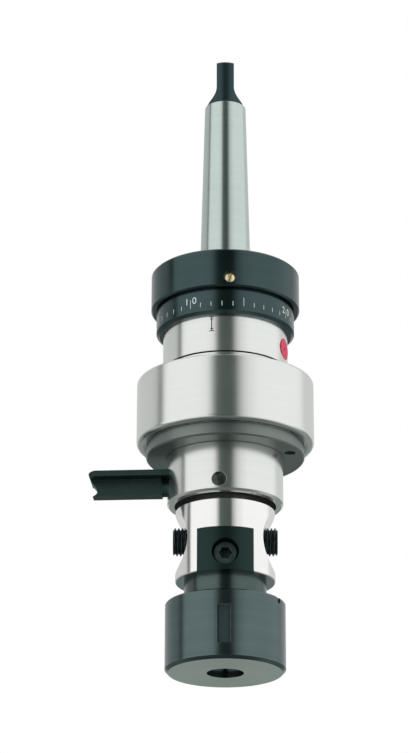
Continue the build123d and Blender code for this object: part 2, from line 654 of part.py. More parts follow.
def body_shell():
    """Large bright body: neck, roof and wall, with rounded edges and a groove round the cover."""
    body = turned(
        (FLOOR_BORE_R, ROOF_BOTTOM_Z),
        (BODY_BORE_R, ROOF_BOTTOM_Z),
        (BODY_BORE_R, BODY_BOTTOM_Z),
        (COVER_R, BODY_BOTTOM_Z),
        (COVER_R, BODY_BOTTOM_Z + BODY_GROOVE_DEPTH),
        (COVER_R + BODY_GROOVE_WIDTH, BODY_BOTTOM_Z + BODY_GROOVE_DEPTH),
        (COVER_R + BODY_GROOVE_WIDTH, BODY_BOTTOM_Z),
        (BODY_R, BODY_BOTTOM_Z),
        (BODY_R, BODY_TOP_Z),
        (SLEEVE_R, BODY_TOP_Z),
        (SLEEVE_R, SLEEVE_SEAM_Z - SEAM_EDGE),
        (SLEEVE_R - SEAM_EDGE, SLEEVE_SEAM_Z),
        (FLOOR_BORE_R, SLEEVE_SEAM_Z),
    )
    rims = body.edges().filter_by(GeomType.CIRCLE)
    outer = rims.filter_by(lambda e: abs(e.radius - BODY_R) < 0.01)
    body = fillet(outer.sort_by(Axis.Z)[0], BODY_EDGE)
    rims = body.edges().filter_by(GeomType.CIRCLE)
    outer = rims.filter_by(lambda e: abs(e.radius - BODY_R) < 0.01)
    body = fillet(outer.sort_by(Axis.Z)[-1], BODY_TOP_EDGE)
    for azimuth in azimuths(JOINT_SCREW_COUNT, JOINT_SCREW_START):
        body -= joint_screw(azimuth, SEAT_CLEAR)
    return body


def involute(angle):
    return math.tan(angle) - angle


def flank_angle(teeth, radius, sign):
    """Half angle of a tooth, or of a tooth space with sign -1, at a radius."""
    pitch_r = GEAR_MODULE * teeth / 2
    base_r = pitch_r * math.cos(math.radians(PRESSURE_ANGLE))
    half = math.pi / (2 * teeth) - sign * TOOTH_BACKLASH / (2 * pitch_r)
    here = math.acos(min(1.0, base_r / radius))
    return half + involute(math.radians(PRESSURE_ANGLE)) - involute(here)


def polar(radius, angle):
    return (radius * math.cos(angle), radius * math.sin(angle))


def gear_outline(teeth, low_r, high_r, sign):
    """Closed outline with a lobe at each pitch: a tooth, or with sign -1 a tooth space."""
    base_r = GEAR_MODULE * teeth / 2 * math.cos(math.radians(PRESSURE_ANGLE))
    start_r = max(low_r, base_r)
    mid_r = (start_r + high_r) / 2
    pitch = 2 * math.pi / teeth
    edges = []
    for k in range(teeth):
        centre = k * pitch
        wide, middle, narrow = [flank_angle(teeth, r, sign) for r in (start_r, mid_r, high_r)]
        up = [polar(start_r, centre - wide), polar(mid_r, centre - middle), polar(high_r, centre - narrow)]
        down = [polar(high_r, centre + narrow), polar(mid_r, centre + middle), polar(start_r, centre + wide)]
        root_a = polar(low_r, centre - wide)
        root_b = polar(low_r, centre + wide)
        if start_r > low_r:
            edges.append(Line(root_a, up[0]))
        edges.append(ThreePointArc(*up))
        edges.append(ThreePointArc(up[2], polar(high_r, centre), down[0]))
        edges.append(ThreePointArc(*down))
        if start_r > low_r:
            edges.append(Line(down[2], root_b))
        next_root = polar(low_r, centre + pitch - wide)
        edges.append(ThreePointArc(root_b, polar(low_r, centre + pitch / 2), next_root))
    return make_face(edges)


def lobed(teeth, low_r, high_r, sign, low, high):
    return Pos(0, 0, low) * extrude(gear_outline(teeth, low_r, high_r, sign), high - low)


def ring_gear():
    """Internal gear, turned so that a tooth space faces each planet."""
    pitch_r = GEAR_MODULE * RING_TEETH / 2
    cut = lobed(RING_TEETH, pitch_r - GEAR_MODULE * TOOTH_ADDENDUM, pitch_r + GEAR_MODULE * TOOTH_DEDENDUM,
                -1, GEAR_BOTTOM_Z - 1, GEAR_TOP_Z + 1)
    blank = Cylinder(BODY_BORE_R - SEAT_CLEAR, GEAR_WIDTH)
    return Pos(0, 0, (GEAR_TOP_Z + GEAR_BOTTOM_Z) / 2) * blank - Rot(0, 0, PLANET_START) * cut


def outer_gear(teeth, low, high):
    pitch_r = GEAR_MODULE * teeth / 2
    return lobed(teeth, pitch_r - GEAR_MODULE * TOOTH_DEDENDUM, pitch_r + GEAR_MODULE * TOOTH_ADDENDUM,
                 1, low, high)


def sun_gear():
    """Sun with a hub below and the splines that the spindle drops into for reverse."""
    half_pitch = 180.0 / SUN_TEETH
    gear = Rot(0, 0, PLANET_START + half_pitch) * outer_gear(SUN_TEETH, GEAR_BOTTOM_Z, GEAR_TOP_Z - FACE_GAP)
    gear += Pos(0, 0, (SUN_HUB_BOTTOM_Z + GEAR_BOTTOM_Z) / 2) * Cylinder(SUN_HUB_R,
                                                                        GEAR_BOTTOM_Z - SUN_HUB_BOTTOM_Z)
    gear -= Pos(0, 0, GEAR_BOTTOM_Z) * Cylinder(STEM_R + LOOSE, 60)
    gear -= ring(SPLINE_R + LOOSE, STEM_R, SUN_SPLINE_TOP_Z, GEAR_TOP_Z + 1)
    for bar in spline_bars(SPLINE_WIDTH + 2 * FACE_GAP, SPLINE_R + FACE_GAP,
                           SUN_HUB_BOTTOM_Z - 1, SUN_SPLINE_TOP_Z + 1):
        gear -= bar
    return gear


def planet_gear(k):
    """Planet with one tooth that points straight out and one straight in."""
    angle = PLANET_START + 360.0 * k / PLANET_COUNT
    centre = polar(PLANET_ORBIT_R, math.radians(angle))
    low = GEAR_BOTTOM_Z + FACE_GAP
    gear = outer_gear(PLANET_TEETH, low, GEAR_TOP_Z - FACE_GAP)
    gear -= Pos(0, 0, (low + GEAR_TOP_Z) / 2) * Cylinder(PLANET_PIN_R + RUN_CLEAR, 2 * GEAR_WIDTH)
    return Pos(centre[0], centre[1], 0) * (Rot(0, 0, angle) * gear)


def at_planets(piece):
    """The same piece at each planet's centre."""
    places = []
    for k in range(PLANET_COUNT):
        x, y = polar(PLANET_ORBIT_R, math.radians(PLANET_START + 360.0 * k / PLANET_COUNT))
        places.append(Pos(x, y, 0) * piece)
    return places


def planet_pins():
    length = GEAR_TOP_Z - CARRIER_BOTTOM_Z
    pin = Pos(0, 0, CARRIER_BOTTOM_Z + length / 2) * Cylinder(PLANET_PIN_R, length)
    return group(at_planets(pin))


def planet_carrier():
    """Plate under the gears with a hub that sits in the stop sleeve."""
    lip = SUN_HUB_BOTTOM_Z - FACE_GAP
    body = turned(
        (SPLINE_R + LOOSE, HUB_END_Z),
        (JOURNAL_BORE_R - SEAT_CLEAR, HUB_END_Z),
        (JOURNAL_BORE_R - SEAT_CLEAR, CARRIER_BOTTOM_Z),
        (CARRIER_R, CARRIER_BOTTOM_Z),
        (CARRIER_R, CARRIER_TOP_Z),
        (SUN_BUSH_R, CARRIER_TOP_Z),
        (SUN_BUSH_R, lip),
        (SPLINE_R + LOOSE, lip),
    )
    length = 2 * GEAR_WIDTH
    hole = Pos(0, 0, CARRIER_BOTTOM_Z) * Cylinder(PLANET_PIN_R + SEAT_CLEAR, length)
    for cut in at_planets(hole):
        body -= cut
    return body


def sun_bush():
    return ring(SUN_BUSH_R - SEAT_CLEAR, SUN_HUB_R + RUN_CLEAR, SUN_HUB_BOTTOM_Z, CARRIER_TOP_Z)


def ball_groove(pitch_r):
    groove = Torus(pitch_r, BALL_R + SEAT_CLEAR)
    return Pos(0, 0, BEARING_MID_Z) * groove


def bearing_inner_ring():
    race = ring(BALL_PITCH_R - BALL_R * RACE_LIP, BEARING_BORE_R, BEARING_BOTTOM_Z, BEARING_TOP_Z)
    return race - ball_groove(BALL_PITCH_R)


def bearing_outer_ring():
    race = ring(BEARING_OUTER_R, BALL_PITCH_R + BALL_R * RACE_LIP, BEARING_BOTTOM_Z, BEARING_TOP_Z)
    return race - ball_groove(BALL_PITCH_R)


def bearing_balls():
    ball = Sphere(BALL_R - SEAT_CLEAR)
    return group([Pos(*spot(a, BALL_PITCH_R, BEARING_MID_Z)) * ball for a in azimuths(BALL_COUNT)])


def bearing_clip():
    clip = ring(BEARING_OUTER_R + CLIP_DEPTH - SEAT_CLEAR, BEARING_OUTER_R - CLIP_WALL,
                BEARING_TOP_Z + FACE_GAP, BEARING_TOP_Z + FACE_GAP + CLIP_THICKNESS)
    return clip - radial_bar(SNAP_GAP_AZIMUTH, 5.0, 4.0, BALL_PITCH_R, BODY_R, BEARING_TOP_Z + 1)


def cover_ring():
    """Threaded cover under the body, with the bearing's seat, its lip and a pin spanner hole."""
    spigot_r = BODY_BORE_R - SEAT_CLEAR
    lip_bore = STOP_SLEEVE_R + RUN_CLEAR + SEAL_WALL + SEAT_CLEAR
    seat = BEARING_OUTER_R + SEAT_CLEAR
    clip_low = BEARING_TOP_Z + SEAT_CLEAR
    clip_high = clip_low + CLIP_THICKNESS + FACE_GAP
    body = turned(
        (lip_bore, COVER_BOTTOM_Z),
        (COVER_R - COVER_EDGE, COVER_BOTTOM_Z),
        (COVER_R, COVER_BOTTOM_Z + COVER_EDGE),
        (COVER_R, BODY_BOTTOM_Z),
        (spigot_r, BODY_BOTTOM_Z),
        (spigot_r, GEAR_BOTTOM_Z),
        (seat, GEAR_BOTTOM_Z),
        (seat, clip_high),
        (BEARING_OUTER_R + CLIP_DEPTH, clip_high),
        (BEARING_OUTER_R + CLIP_DEPTH, clip_low),
        (seat, clip_low),
        (seat, BEARING_BOTTOM_Z),
        (lip_bore, BEARING_BOTTOM_Z),
    )
    hole = Cylinder(COVER_HOLE_R, 2 * COVER_HOLE_DEPTH)
    return body - Pos(*spot(COVER_HOLE_AZIMUTH, COVER_HOLE_PITCH_R, COVER_BOTTOM_Z)) * hole


def cover_seal():
    inner = STOP_SLEEVE_R + RUN_CLEAR
    low = COVER_BOTTOM_Z - SEAL_PROUD
    return ring(inner + SEAL_WALL, inner, low, low + SEAL_HEIGHT)


def stop_sleeve():
    """Lower bright sleeve, held still by the arm: journal, shoulder and threaded holes."""
    body = turned(
        (JOURNAL_BORE_R, WIPER_BOTTOM_Z),
        (COUNTERBORE_R, WIPER_BOTTOM_Z),
        (COUNTERBORE_R, STOP_BOTTOM_Z),
        (STOP_SLEEVE_R - STOP_EDGE, STOP_BOTTOM_Z),
        (STOP_SLEEVE_R, STOP_BOTTOM_Z + STOP_EDGE),
        (STOP_SLEEVE_R, SHOULDER_Z),
        (SHOULDER_R, SHOULDER_Z),
        (SHOULDER_R, BEARING_BOTTOM_Z),
        (BEARING_BORE_R - SEAT_CLEAR, BEARING_BOTTOM_Z),
        (BEARING_BORE_R - SEAT_CLEAR, CARRIER_BOTTOM_Z),
        (JOURNAL_BORE_R, CARRIER_BOTTOM_Z),
    )
    body -= radial_rod(SET_SCREW_AZIMUTH, SET_SCREW_R + SEAT_CLEAR, JOURNAL_BORE_R - 1, STOP_SLEEVE_R + 1,
                       SET_SCREW_Z)
    body -= radial_rod(ARM_AZIMUTH, ARM_COLLAR_R + SEAT_CLEAR, JOURNAL_BORE_R - 1, STOP_SLEEVE_R + 1,
                       ARM_STUD_Z)
    return body


def set_screw():
    outer = STOP_SLEEVE_R - SCREW_SINK
    screw = radial_rod(SET_SCREW_AZIMUTH, SET_SCREW_R, COUNTERBORE_R + SEAT_CLEAR, outer, SET_SCREW_Z)
    return slotted(SET_SCREW_AZIMUTH, screw, SET_SCREW_R, outer, SET_SCREW_Z, SET_SCREW_TILT)


def stop_bush():
    return ring(JOURNAL_BORE_R - SEAT_CLEAR, SPINDLE_JOURNAL_R + RUN_CLEAR, WIPER_TOP_Z, STOP_BUSH_TOP_Z)


def wiper_ring():
    """Rubber wiper: a wide lip in the counterbore and a neck in the bore above it."""
    bore = SPINDLE_JOURNAL_R + RUN_CLEAR
    return turned(
        (bore, STOP_BOTTOM_Z + WIPER_SINK),
        (COUNTERBORE_R - SEAT_CLEAR, STOP_BOTTOM_Z + WIPER_SINK),
        (COUNTERBORE_R - SEAT_CLEAR, WIPER_BOTTOM_Z - SEAT_CLEAR),
        (JOURNAL_BORE_R - SEAT_CLEAR, WIPER_BOTTOM_Z - SEAT_CLEAR),
        (JOURNAL_BORE_R - SEAT_CLEAR, WIPER_TOP_Z - SEAT_CLEAR),
        (bore, WIPER_TOP_Z - SEAT_CLEAR),
    )


def arm_outline():
    """Side view of the arm: rounded nose, hollow for the machine's column, square heel."""
    nose = (ARM_LENGTH_R, ARM_TOP_Z - ARM_NOSE_DROP)
    hollow = (ARM_LENGTH_R - ARM_HOLLOW, ARM_BOTTOM_Z + ARM_HORN_RISE)
    horn = (ARM_LENGTH_R - ARM_HOLLOW + ARM_HORN, ARM_BOTTOM_Z)
    start = (ARM_LENGTH_R - ARM_NOSE, ARM_TOP_Z)
    middle = ((nose[0] + hollow[0]) / 2, (nose[1] + hollow[1]) / 2)
    lines = Polyline(horn, (STOP_SLEEVE_R - 2, ARM_BOTTOM_Z), (STOP_SLEEVE_R - 2, ARM_TOP_Z), start)
    return make_face([lines, Spline(start, nose, middle, hollow, horn)])


def stop_arm():
    """Black tee-section arm whose flange is saddled on the stop sleeve."""
    profile = Plane.XZ * arm_outline()
    flange_z = ARM_TOP_Z - ARM_FLANGE
    body = extrude(profile, ARM_FLANGE_HALF, both=True)
    deep = ARM_FLANGE_HALF - ARM_WEB_HALF
    for way in (-1, 1):
        trim = Box(2 * ARM_LENGTH_R, deep, ARM_HEIGHT, align=(Align.CENTER, Align.CENTER, Align.MAX))
        body -= Pos(ARM_LENGTH_R, way * (ARM_WEB_HALF + deep / 2), flange_z) * trim
    heel = Box(ARM_INNER_R, 3 * ARM_WEB_HALF, ARM_HEIGHT, align=(Align.MIN, Align.CENTER, Align.MAX))
    body -= Pos(0, 0, flange_z) * heel
    body = Rot(0, 0, ARM_AZIMUTH - 90) * body
    body -= Pos(0, 0, ARM_TOP_Z) * Cylinder(STOP_SLEEVE_R + SEAT_CLEAR, 4 * ARM_HEIGHT)
    return body - radial_rod(ARM_AZIMUTH, ARM_THREAD_R + SEAT_CLEAR, STOP_SLEEVE_R,
                             ARM_INNER_R + ARM_THREAD_LEN, ARM_STUD_Z)


def arm_stud():
    """Stud of the arm: a thick collar in the sleeve's wall and a thread in the arm's web."""
    collar = radial_rod(ARM_AZIMUTH, ARM_COLLAR_R, JOURNAL_BORE_R + SEAT_CLEAR, ARM_INNER_R - SEAT_CLEAR,
                        ARM_STUD_Z)
    return collar + radial_rod(ARM_AZIMUTH, ARM_THREAD_R, ARM_INNER_R - 1,
                               ARM_INNER_R + ARM_THREAD_LEN - SEAT_CLEAR, ARM_STUD_Z)


def scallop(way):
    cut = Rot(90, 0, 0) * Cylinder(SCALLOP_CUT_R, 3 * SPINDLE_R)
    return Pos(way * (SCALLOP_FLOOR_R + SCALLOP_CUT_R), 0, SCALLOP_Z) * cut


def spindle():
    """Floating spindle: splined stem, journal and drum with side scallops and a cross slot."""
    body = turned(
        (0, SPINDLE_BOTTOM_Z),
        (SPINDLE_R - SPINDLE_EDGE, SPINDLE_BOTTOM_Z),
        (SPINDLE_R, SPINDLE_BOTTOM_Z + SPINDLE_EDGE),
        (SPINDLE_R, SPINDLE_TOP_Z - SPINDLE_EDGE),
        (SPINDLE_R - SPINDLE_EDGE, SPINDLE_TOP_Z),
        (SPINDLE_JOURNAL_R, SPINDLE_TOP_Z),
        (SPINDLE_JOURNAL_R, JOURNAL_TOP_Z),
        (STEM_R, JOURNAL_TOP_Z),
        (STEM_R, SPLINE_TOP_Z),
        (0, SPLINE_TOP_Z),
    )
    for bar in spline_bars(SPLINE_WIDTH, SPLINE_R, SPLINE_TOP_Z - SPLINE_LEN, SPLINE_TOP_Z):
        body += bar
    for way in (-1, 1):
        body -= scallop(way)
    slot_height = BLOCK_TOP_Z - SPINDLE_BOTTOM_Z
    slot = Box(BLOCK_WIDTH + 2 * SEAT_CLEAR, 3 * SPINDLE_R, slot_height + 2,
               align=(Align.CENTER, Align.CENTER, Align.MAX))
    body -= Pos(0, 0, BLOCK_TOP_Z) * slot
    body -= ring(HOLDER_SHANK_R + SEAT_CLEAR, 0, SPINDLE_BOTTOM_Z, HOLDER_TOP_Z)
    for azimuth in (-90, 90):
        body -= radial_rod(azimuth, STUD_R + RUN_CLEAR, HOLDER_SHANK_R - 1, SPINDLE_R + 1, STUD_Z)
    return body


def collet_holder():
    """Black holder: round shank, cross block turned to the drum, neck and threaded nose."""
    block = Box(BLOCK_WIDTH, 3 * SPINDLE_R, BLOCK_TOP_Z - SPINDLE_BOTTOM_Z,
                align=(Align.CENTER, Align.CENTER, Align.MAX))
    drum = ring(SPINDLE_R, 0, SPINDLE_BOTTOM_Z, BLOCK_TOP_Z)
    body = (Pos(0, 0, BLOCK_TOP_Z) * block) & drum
    body += ring(HOLDER_SHANK_R, 0, BLOCK_TOP_Z, HOLDER_TOP_Z - FACE_GAP)
    body += turned(
        (0, NOSE_BOTTOM_Z),
        (NOSE_R - NOSE_EDGE, NOSE_BOTTOM_Z),
        (NOSE_R, NOSE_BOTTOM_Z + NOSE_EDGE),
        (NOSE_R, NUT_TOP_Z + NECK_RELIEF),
        (NECK_R, NUT_TOP_Z + NECK_RELIEF),
        (NECK_R, SPINDLE_BOTTOM_Z),
        (0, SPINDLE_BOTTOM_Z),
    )
    body -= turned(
        (0, NOSE_BOTTOM_Z - 1),
        (collet_r(NOSE_BOTTOM_Z - 1) + SEAT_CLEAR, NOSE_BOTTOM_Z - 1),
        (collet_r(COLLET_TOP_Z + 1) + SEAT_CLEAR, COLLET_TOP_Z + 1),
        (TAP_BORE_R, COLLET_TOP_Z + 1),
        (TAP_BORE_R, HOLDER_TOP_Z - TAP_END_WALL),
        (0, HOLDER_TOP_Z - TAP_END_WALL),
    )
    for azimuth in (0, 180):
        body -= radial_rod(azimuth, CLAMP_BORE_R, TAP_BORE_R - 2, SPINDLE_R + 1, CLAMP_Z)
    return body


def collet_r(z):
    return COLLET_BODY_R - (z - NOSE_BOTTOM_Z) * COLLET_TAPER


def collet():
    """Slit spring collet with a long upper cone and a short lower one."""
    body = turned(
        (COLLET_BORE_R, COLLET_BOTTOM_Z),
        (COLLET_FACE_R - SEAT_CLEAR, COLLET_BOTTOM_Z),
        (collet_r(NOSE_BOTTOM_Z), COLLET_CONE_TOP_Z),
        (collet_r(NOSE_BOTTOM_Z), NOSE_BOTTOM_Z),
        (collet_r(COLLET_TOP_Z), COLLET_TOP_Z),
        (COLLET_BORE_R, COLLET_TOP_Z),
    )
    slit = COLLET_TOP_Z - COLLET_TOP_WALL - COLLET_BOTTOM_Z + 1
    for azimuth in azimuths(COLLET_SLITS):
        body -= radial_bar(azimuth, COLLET_SLIT_WIDTH, slit, COLLET_BORE_R - 1, NECK_R,
                           COLLET_TOP_Z - COLLET_TOP_WALL - slit / 2)
    return body


def collet_nut():
    """Black nut: bored for the nose, with a coned seat, spanner slots and two top notches."""
    bore = NOSE_R + RUN_CLEAR
    body = turned(
        (NUT_HOLE_R, NUT_BOTTOM_Z),
        (NUT_R - NUT_EDGE, NUT_BOTTOM_Z),
        (NUT_R, NUT_BOTTOM_Z + NUT_EDGE),
        (NUT_R, NUT_TOP_Z - NUT_TOP_EDGE),
        (NUT_R - NUT_TOP_EDGE, NUT_TOP_Z),
        (NECK_R + LOOSE, NUT_TOP_Z),
        (NECK_R + LOOSE, NUT_TOP_Z - NUT_THREAD_LEAD),
        (bore, NUT_TOP_Z - NUT_THREAD_LEAD - LOOSE),
        (bore, COLLET_CONE_TOP_Z),
        (collet_r(NOSE_BOTTOM_Z) + SEAT_CLEAR, COLLET_CONE_TOP_Z),
        (COLLET_FACE_R, COLLET_BOTTOM_Z),
        (NUT_HOLE_R, COLLET_BOTTOM_Z),
    )
    for azimuth in azimuths(NUT_SLOT_COUNT, NUT_SLOT_AZIMUTH):
        body -= radial_bar(azimuth, NUT_SLOT_WIDTH, NUT_SLOT_HEIGHT, NUT_R - NUT_SLOT_DEPTH, NUT_R + 1,
                           NUT_SLOT_Z)
    for azimuth in azimuths(2, NUT_NOTCH_AZIMUTH):
        x, y, _ = spot(azimuth, NUT_R - NUT_NOTCH_INSET, 0)
        body -= Pos(x, y, NUT_TOP_Z) * Cylinder(NUT_NOTCH_R, 2 * NUT_NOTCH_DEPTH)
    return body


def socket_screw(azimuth, screw_r, inner, outer, z, tip_r):
    """Headless screw with a hexagon socket and a coned point."""
    profile = make_face(Polyline((0, 0), (0, outer - inner), (screw_r - SCREW_CHAMFER, outer - inner),
                                 (screw_r, outer - inner - SCREW_CHAMFER), (screw_r, SCREW_POINT), (tip_r, 0),
                                 close=True))
    screw = revolve(Plane.XZ * profile, Axis.Z)
    socket = extrude(RegularPolygon(SCREW_SOCKET / math.sqrt(3), 6), SCREW_SOCKET_DEPTH + 1)
    screw -= Pos(0, 0, outer - inner - SCREW_SOCKET_DEPTH) * socket
    return outward(azimuth, inner, z) * screw


def holder_stud(azimuth):
    return socket_screw(azimuth, STUD_R, HOLDER_SHANK_R + FACE_GAP, STUD_END_R, STUD_Z, STUD_R - 1)


def tap_clamp(azimuth):
    return socket_screw(azimuth, CLAMP_SCREW_R, CLAMP_TIP_R, CLAMP_END_R, CLAMP_Z, CLAMP_SCREW_R - 1.5)


def float_spring():
    """Coil spring of rectangular wire between the driver's roof and the top of the stem."""
    height = SPRING_ROOF_Z - SPLINE_TOP_Z - SPRING_WIRE_HEIGHT - 4 * FACE_GAP
    path = Helix(pitch=height / SPRING_TURNS, height=height, radius=SPRING_MEAN_R)
    start = Plane(origin=path @ 0, x_dir=(1, 0, 0), z_dir=path % 0)
    coil = sweep(start * Rectangle(SPRING_WIRE_WIDTH, SPRING_WIRE_HEIGHT), path=path, is_frenet=True)
    return Pos(0, 0, SPLINE_TOP_Z + SPRING_WIRE_HEIGHT / 2 + 2 * FACE_GAP) * coil


PIECES = {
    "shank": shank,
    "upper_sleeve": upper_sleeve,
    "joint_screws": joint_screws,
    "red_plug": red_plug,
    "sleeve_snap_ring": snap_ring,
    "adjusting_ring": adjusting_ring,
    "scale_ring": scale_ring,
    "lock_screw": lock_screw,
    "pressure_ring": pressure_ring,
    "disc_springs": disc_springs,
    "pressure_plate": pressure_plate,
    "clutch_plates": clutch_plates,
    "friction_discs": friction_discs,
    "driver": driver,
    "driver_bush": driver_bush,
    "driver_clip": driver_clip,
    "body_shell": body_shell,
    "ring_gear": ring_gear,
    "sun_gear": sun_gear,
    "sun_bush": sun_bush,
    "planet_gear_1": lambda: planet_gear(0),
    "planet_gear_2": lambda: planet_gear(1),
    "planet_gear_3": lambda: planet_gear(2),
    "planet_pins": planet_pins,
    "planet_carrier": planet_carrier,
    "bearing_inner_ring": bearing_inner_ring,
    "bearing_outer_ring": bearing_outer_ring,
    "bearing_balls": bearing_balls,
    "bearing_clip": bearing_clip,
    "cover_ring": cover_ring,
    "cover_seal": cover_seal,
    "stop_sleeve": stop_sleeve,
    "set_screw": set_screw,
    "stop_bush": stop_bush,
    "wiper_ring": wiper_ring,
    "stop_arm": stop_arm,
    "arm_stud": arm_stud,
    "spindle": spindle,
    "collet_holder": collet_holder,
    "holder_stud_left": lambda: holder_stud(-90),
    "holder_stud_right": lambda: holder_stud(90),
    "tap_clamp_front": lambda: tap_clamp(0),
    "tap_clamp_back": lambda: tap_clamp(180),
    "float_spring": float_spring,
    "collet": collet,
    "collet_nut": collet_nut,
}

for name, make in PIECES.items():
    export_step(make(), f"parts/{name}.step")
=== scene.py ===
import math

import bpy
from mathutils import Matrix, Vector


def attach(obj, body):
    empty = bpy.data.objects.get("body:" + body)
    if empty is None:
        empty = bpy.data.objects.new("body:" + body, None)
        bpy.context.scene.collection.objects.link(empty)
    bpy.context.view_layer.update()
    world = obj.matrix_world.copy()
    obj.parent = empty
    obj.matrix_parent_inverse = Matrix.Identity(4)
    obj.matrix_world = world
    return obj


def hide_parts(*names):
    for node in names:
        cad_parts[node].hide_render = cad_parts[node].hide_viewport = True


# Reversing tapping head. Lengths are millimetres until they reach Blender, which works in metres.
# Azimuths are degrees from the front, growing towards +X, as on the CAD part.

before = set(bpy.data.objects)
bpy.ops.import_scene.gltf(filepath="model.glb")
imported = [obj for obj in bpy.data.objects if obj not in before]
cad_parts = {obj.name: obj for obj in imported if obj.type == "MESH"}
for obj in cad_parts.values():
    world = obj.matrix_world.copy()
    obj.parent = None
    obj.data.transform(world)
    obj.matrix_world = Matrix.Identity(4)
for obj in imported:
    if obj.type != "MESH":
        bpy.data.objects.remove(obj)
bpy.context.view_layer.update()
MM = 0.001

# Camera fitted to the photograph
NUT_FACE_Z = -153.4
CAMERA_AWAY = 889.9
CAMERA_BELOW_NUT = 230.5
CAMERA_PITCH = 0.3629
FOCAL_PX = 2700.7
FRAME_PX = 753
AXIS_RIGHT_PX = 21.3
CLIP_NEAR = 10.0
CLIP_FAR = 50000.0

# Floor far below the part, which hangs from its taper
FLOOR_Z = -2400.0
FLOOR_R = 4500.0
FLOOR_SIDES = 96
FLOOR_NOISE = (3.0, 2.0)
FLOOR_COLOURS = ((0.86, 0.86, 0.85), (0.90, 0.90, 0.89))
FLOOR_ROUGHNESS = 0.8

# Soft boxes over the part at both sides, aimed near its middle
SOFT_BOXES = (("left_box", -60), ("right_box", 62))
BOX_Z = 250
BOX_AWAY = 900
BOX_WIDTH = 500
BOX_LENGTH = 900
BOX_POWER = 2.0
BOX_AIM_Z = -50.0

# What glossy faces mirror, as brightness by azimuth: two wide soft boxes, and a dark gap between
# them at the front
MIRRORED = (
    (-180, 0.66), (-108, 0.62), (-99, 0.56), (-95, 0.16), (-90, 0.16), (-86, 1.0), (-36, 1.0),
    (-22, 0.92), (-12, 0.10), (13, 0.07), (17, 0.40), (27, 0.80), (45, 1.0), (112, 1.0),
    (124, 0.72), (180, 0.66),
)
GAP_BRIGHTNESS = 0.12
GAP_TINT = (0.85, 1.1, 1.0)

# Directions, by one part of their unit vector: under the horizon, steeply down, and to the back
LOW_SHARES = (-0.14, -0.02)
STEEP_SHARES = (-0.85, -0.5)
BACK_SHARES = (0.1, 0.6)
LOW_BACK_COLOUR = (0.27, 0.30, 0.29)
STEEP_COLOUR = (0.14, 0.155, 0.15)
DIFFUSE_WORLD = (0.8, 0.8, 0.8)
CAMERA_WORLD = (1.0, 1.0, 1.0)

# Scale on the black ring
SCALE_R = 24.4
SCALE_DIVISION = 9.0
SCALE_ZERO_AZIMUTH = -119.7
SCALE_LAST = 30
LONG_TICK_EVERY = 5
NUMBER_EVERY = 10
TICK_BOTTOM_Z = -28.9
TICK_SHORT = 1.7
TICK_LONG = 3.2
TICK_WIDTH = 0.2
MARK_DEPTH = 0.04
DIGIT_HEIGHT = 2.6
FONT_SIZE_PER_HEIGHT = 1.35
DIGIT_Z = -27.3
DIGIT_STEP = 3.0

# Index on the sleeve, its end bars made of narrow steps that follow the round side
SLEEVE_R = 22.0
INDEX_AZIMUTH = -12.4
INDEX_TOP_Z = -32.0
INDEX_BOTTOM_Z = -37.2
INDEX_WIDTH = 0.38
INDEX_PROUD = 0.01
INDEX_BAR = 0.3
INDEX_BAR_GAP = 0.8
INDEX_BARS = (1.9, 1.3)
INDEX_BAR_STEP = 0.4

# Studs at the sides of the drum, as on the CAD part. Root and flank are shares of the pitch.
STUD_Z = -107.1
STUD_R = 4.9
STUD_INNER_R = 9.7
STUD_END_R = 18.0
STUD_CHAMFER = 0.6
STUD_SHARP_ANGLE = 35
THREAD_PITCH = 1.25
THREAD_DEPTH = 0.75
THREAD_HALF_ROOT = 0.1
THREAD_FLANK = 0.3
THREAD_ROWS = 10
THREAD_SIDES = 48
SOCKET_HALF = 2.0
SOCKET_DEPTH = 4.0
SOCKET_CONE = 0.6

# Brass screw in the torque ring and dark screw in the lower sleeve, as on the CAD part
LOCK_SCREW = {
    "azimuth": 3.7, "z": -18.8, "radius": 2.1, "inner": 23.62, "outer": 25.95,
    "tilt": 68.0, "dome_r": 4.0, "tip_r": 1.4, "tip_inner": 22.05,
}
SET_SCREW = {
    "azimuth": -6.2, "z": -90.6, "radius": 2.5, "inner": 17.62, "outer": 19.8,
    "tilt": 104.0, "dome_r": 9.0,
}
SCREW_SLOT = 0.7
SCREW_SLOT_DEPTH = 0.8
HEAD_OVERLAP = 0.05
HEAD_STEPS = 28
HEAD_ROWS = 6
HEAD_SHARP_ANGLE = 30

# Noise as scale and detail, and the range in which nearly all of its values lie
FINE_RINGS = (7000.0, 3.0)
BROAD_RINGS = (700.0, 2.0)
PATCHES = (60.0, 4.0)
GRAIN = 600.0
GRAIN_DETAIL = 4.0
NOISE_RANGE = (0.3, 0.7)

# Relief of the lathe rings and of the grain, and highlights stretched across the rings
RING_RELIEF = 0.0004
GRAIN_RELIEF = 0.004
STRETCH = 0.6
QUARTER_TURN = 0.25

# Least and greatest share of a surface's roughness
METAL_GLOSS = (0.88, 1.15)
PLAIN_GLOSS = (0.85, 1.2)

# Edges: how far they are softened, and the cosines between which they take wear and a painted
# highlight
EDGE_SOFTNESS = 0.18
EDGE_SAMPLES = 4
WEAR_GLINT_COSINES = (0.86, 0.995)

# Cosines between which a face counts as looking down
DOWN_COSINES = (-0.98, -0.9)

# The shank's cone, and the black tang under its surface
TAPER_GAUGE_R = 8.89
TAPER_SLOPE = 0.024975
TANG_UNDER_CONE = 0.06
TANG_COLOUR = (0.046, 0.080, 0.088)
TAPER_ROUGHNESS = 0.23
TANG_ROUGHNESS = 0.45

# Groove at the sleeve's lower end, with painted shade in it
GROOVE_TOP_Z = -44.55
GROOVE_MARGIN = 0.03
GROOVE_SHADE_COLOUR = (0.02, 0.03, 0.027)

# Where the drum ends and the holder's neck begins, and the matte oxide above that
DRUM_BOTTOM_Z = -121.8
NECK_ROUGHNESS = 0.24
MATTE_ROUGHNESS = 0.5
MATTE_COLOUR = (0.027, 0.050, 0.044)

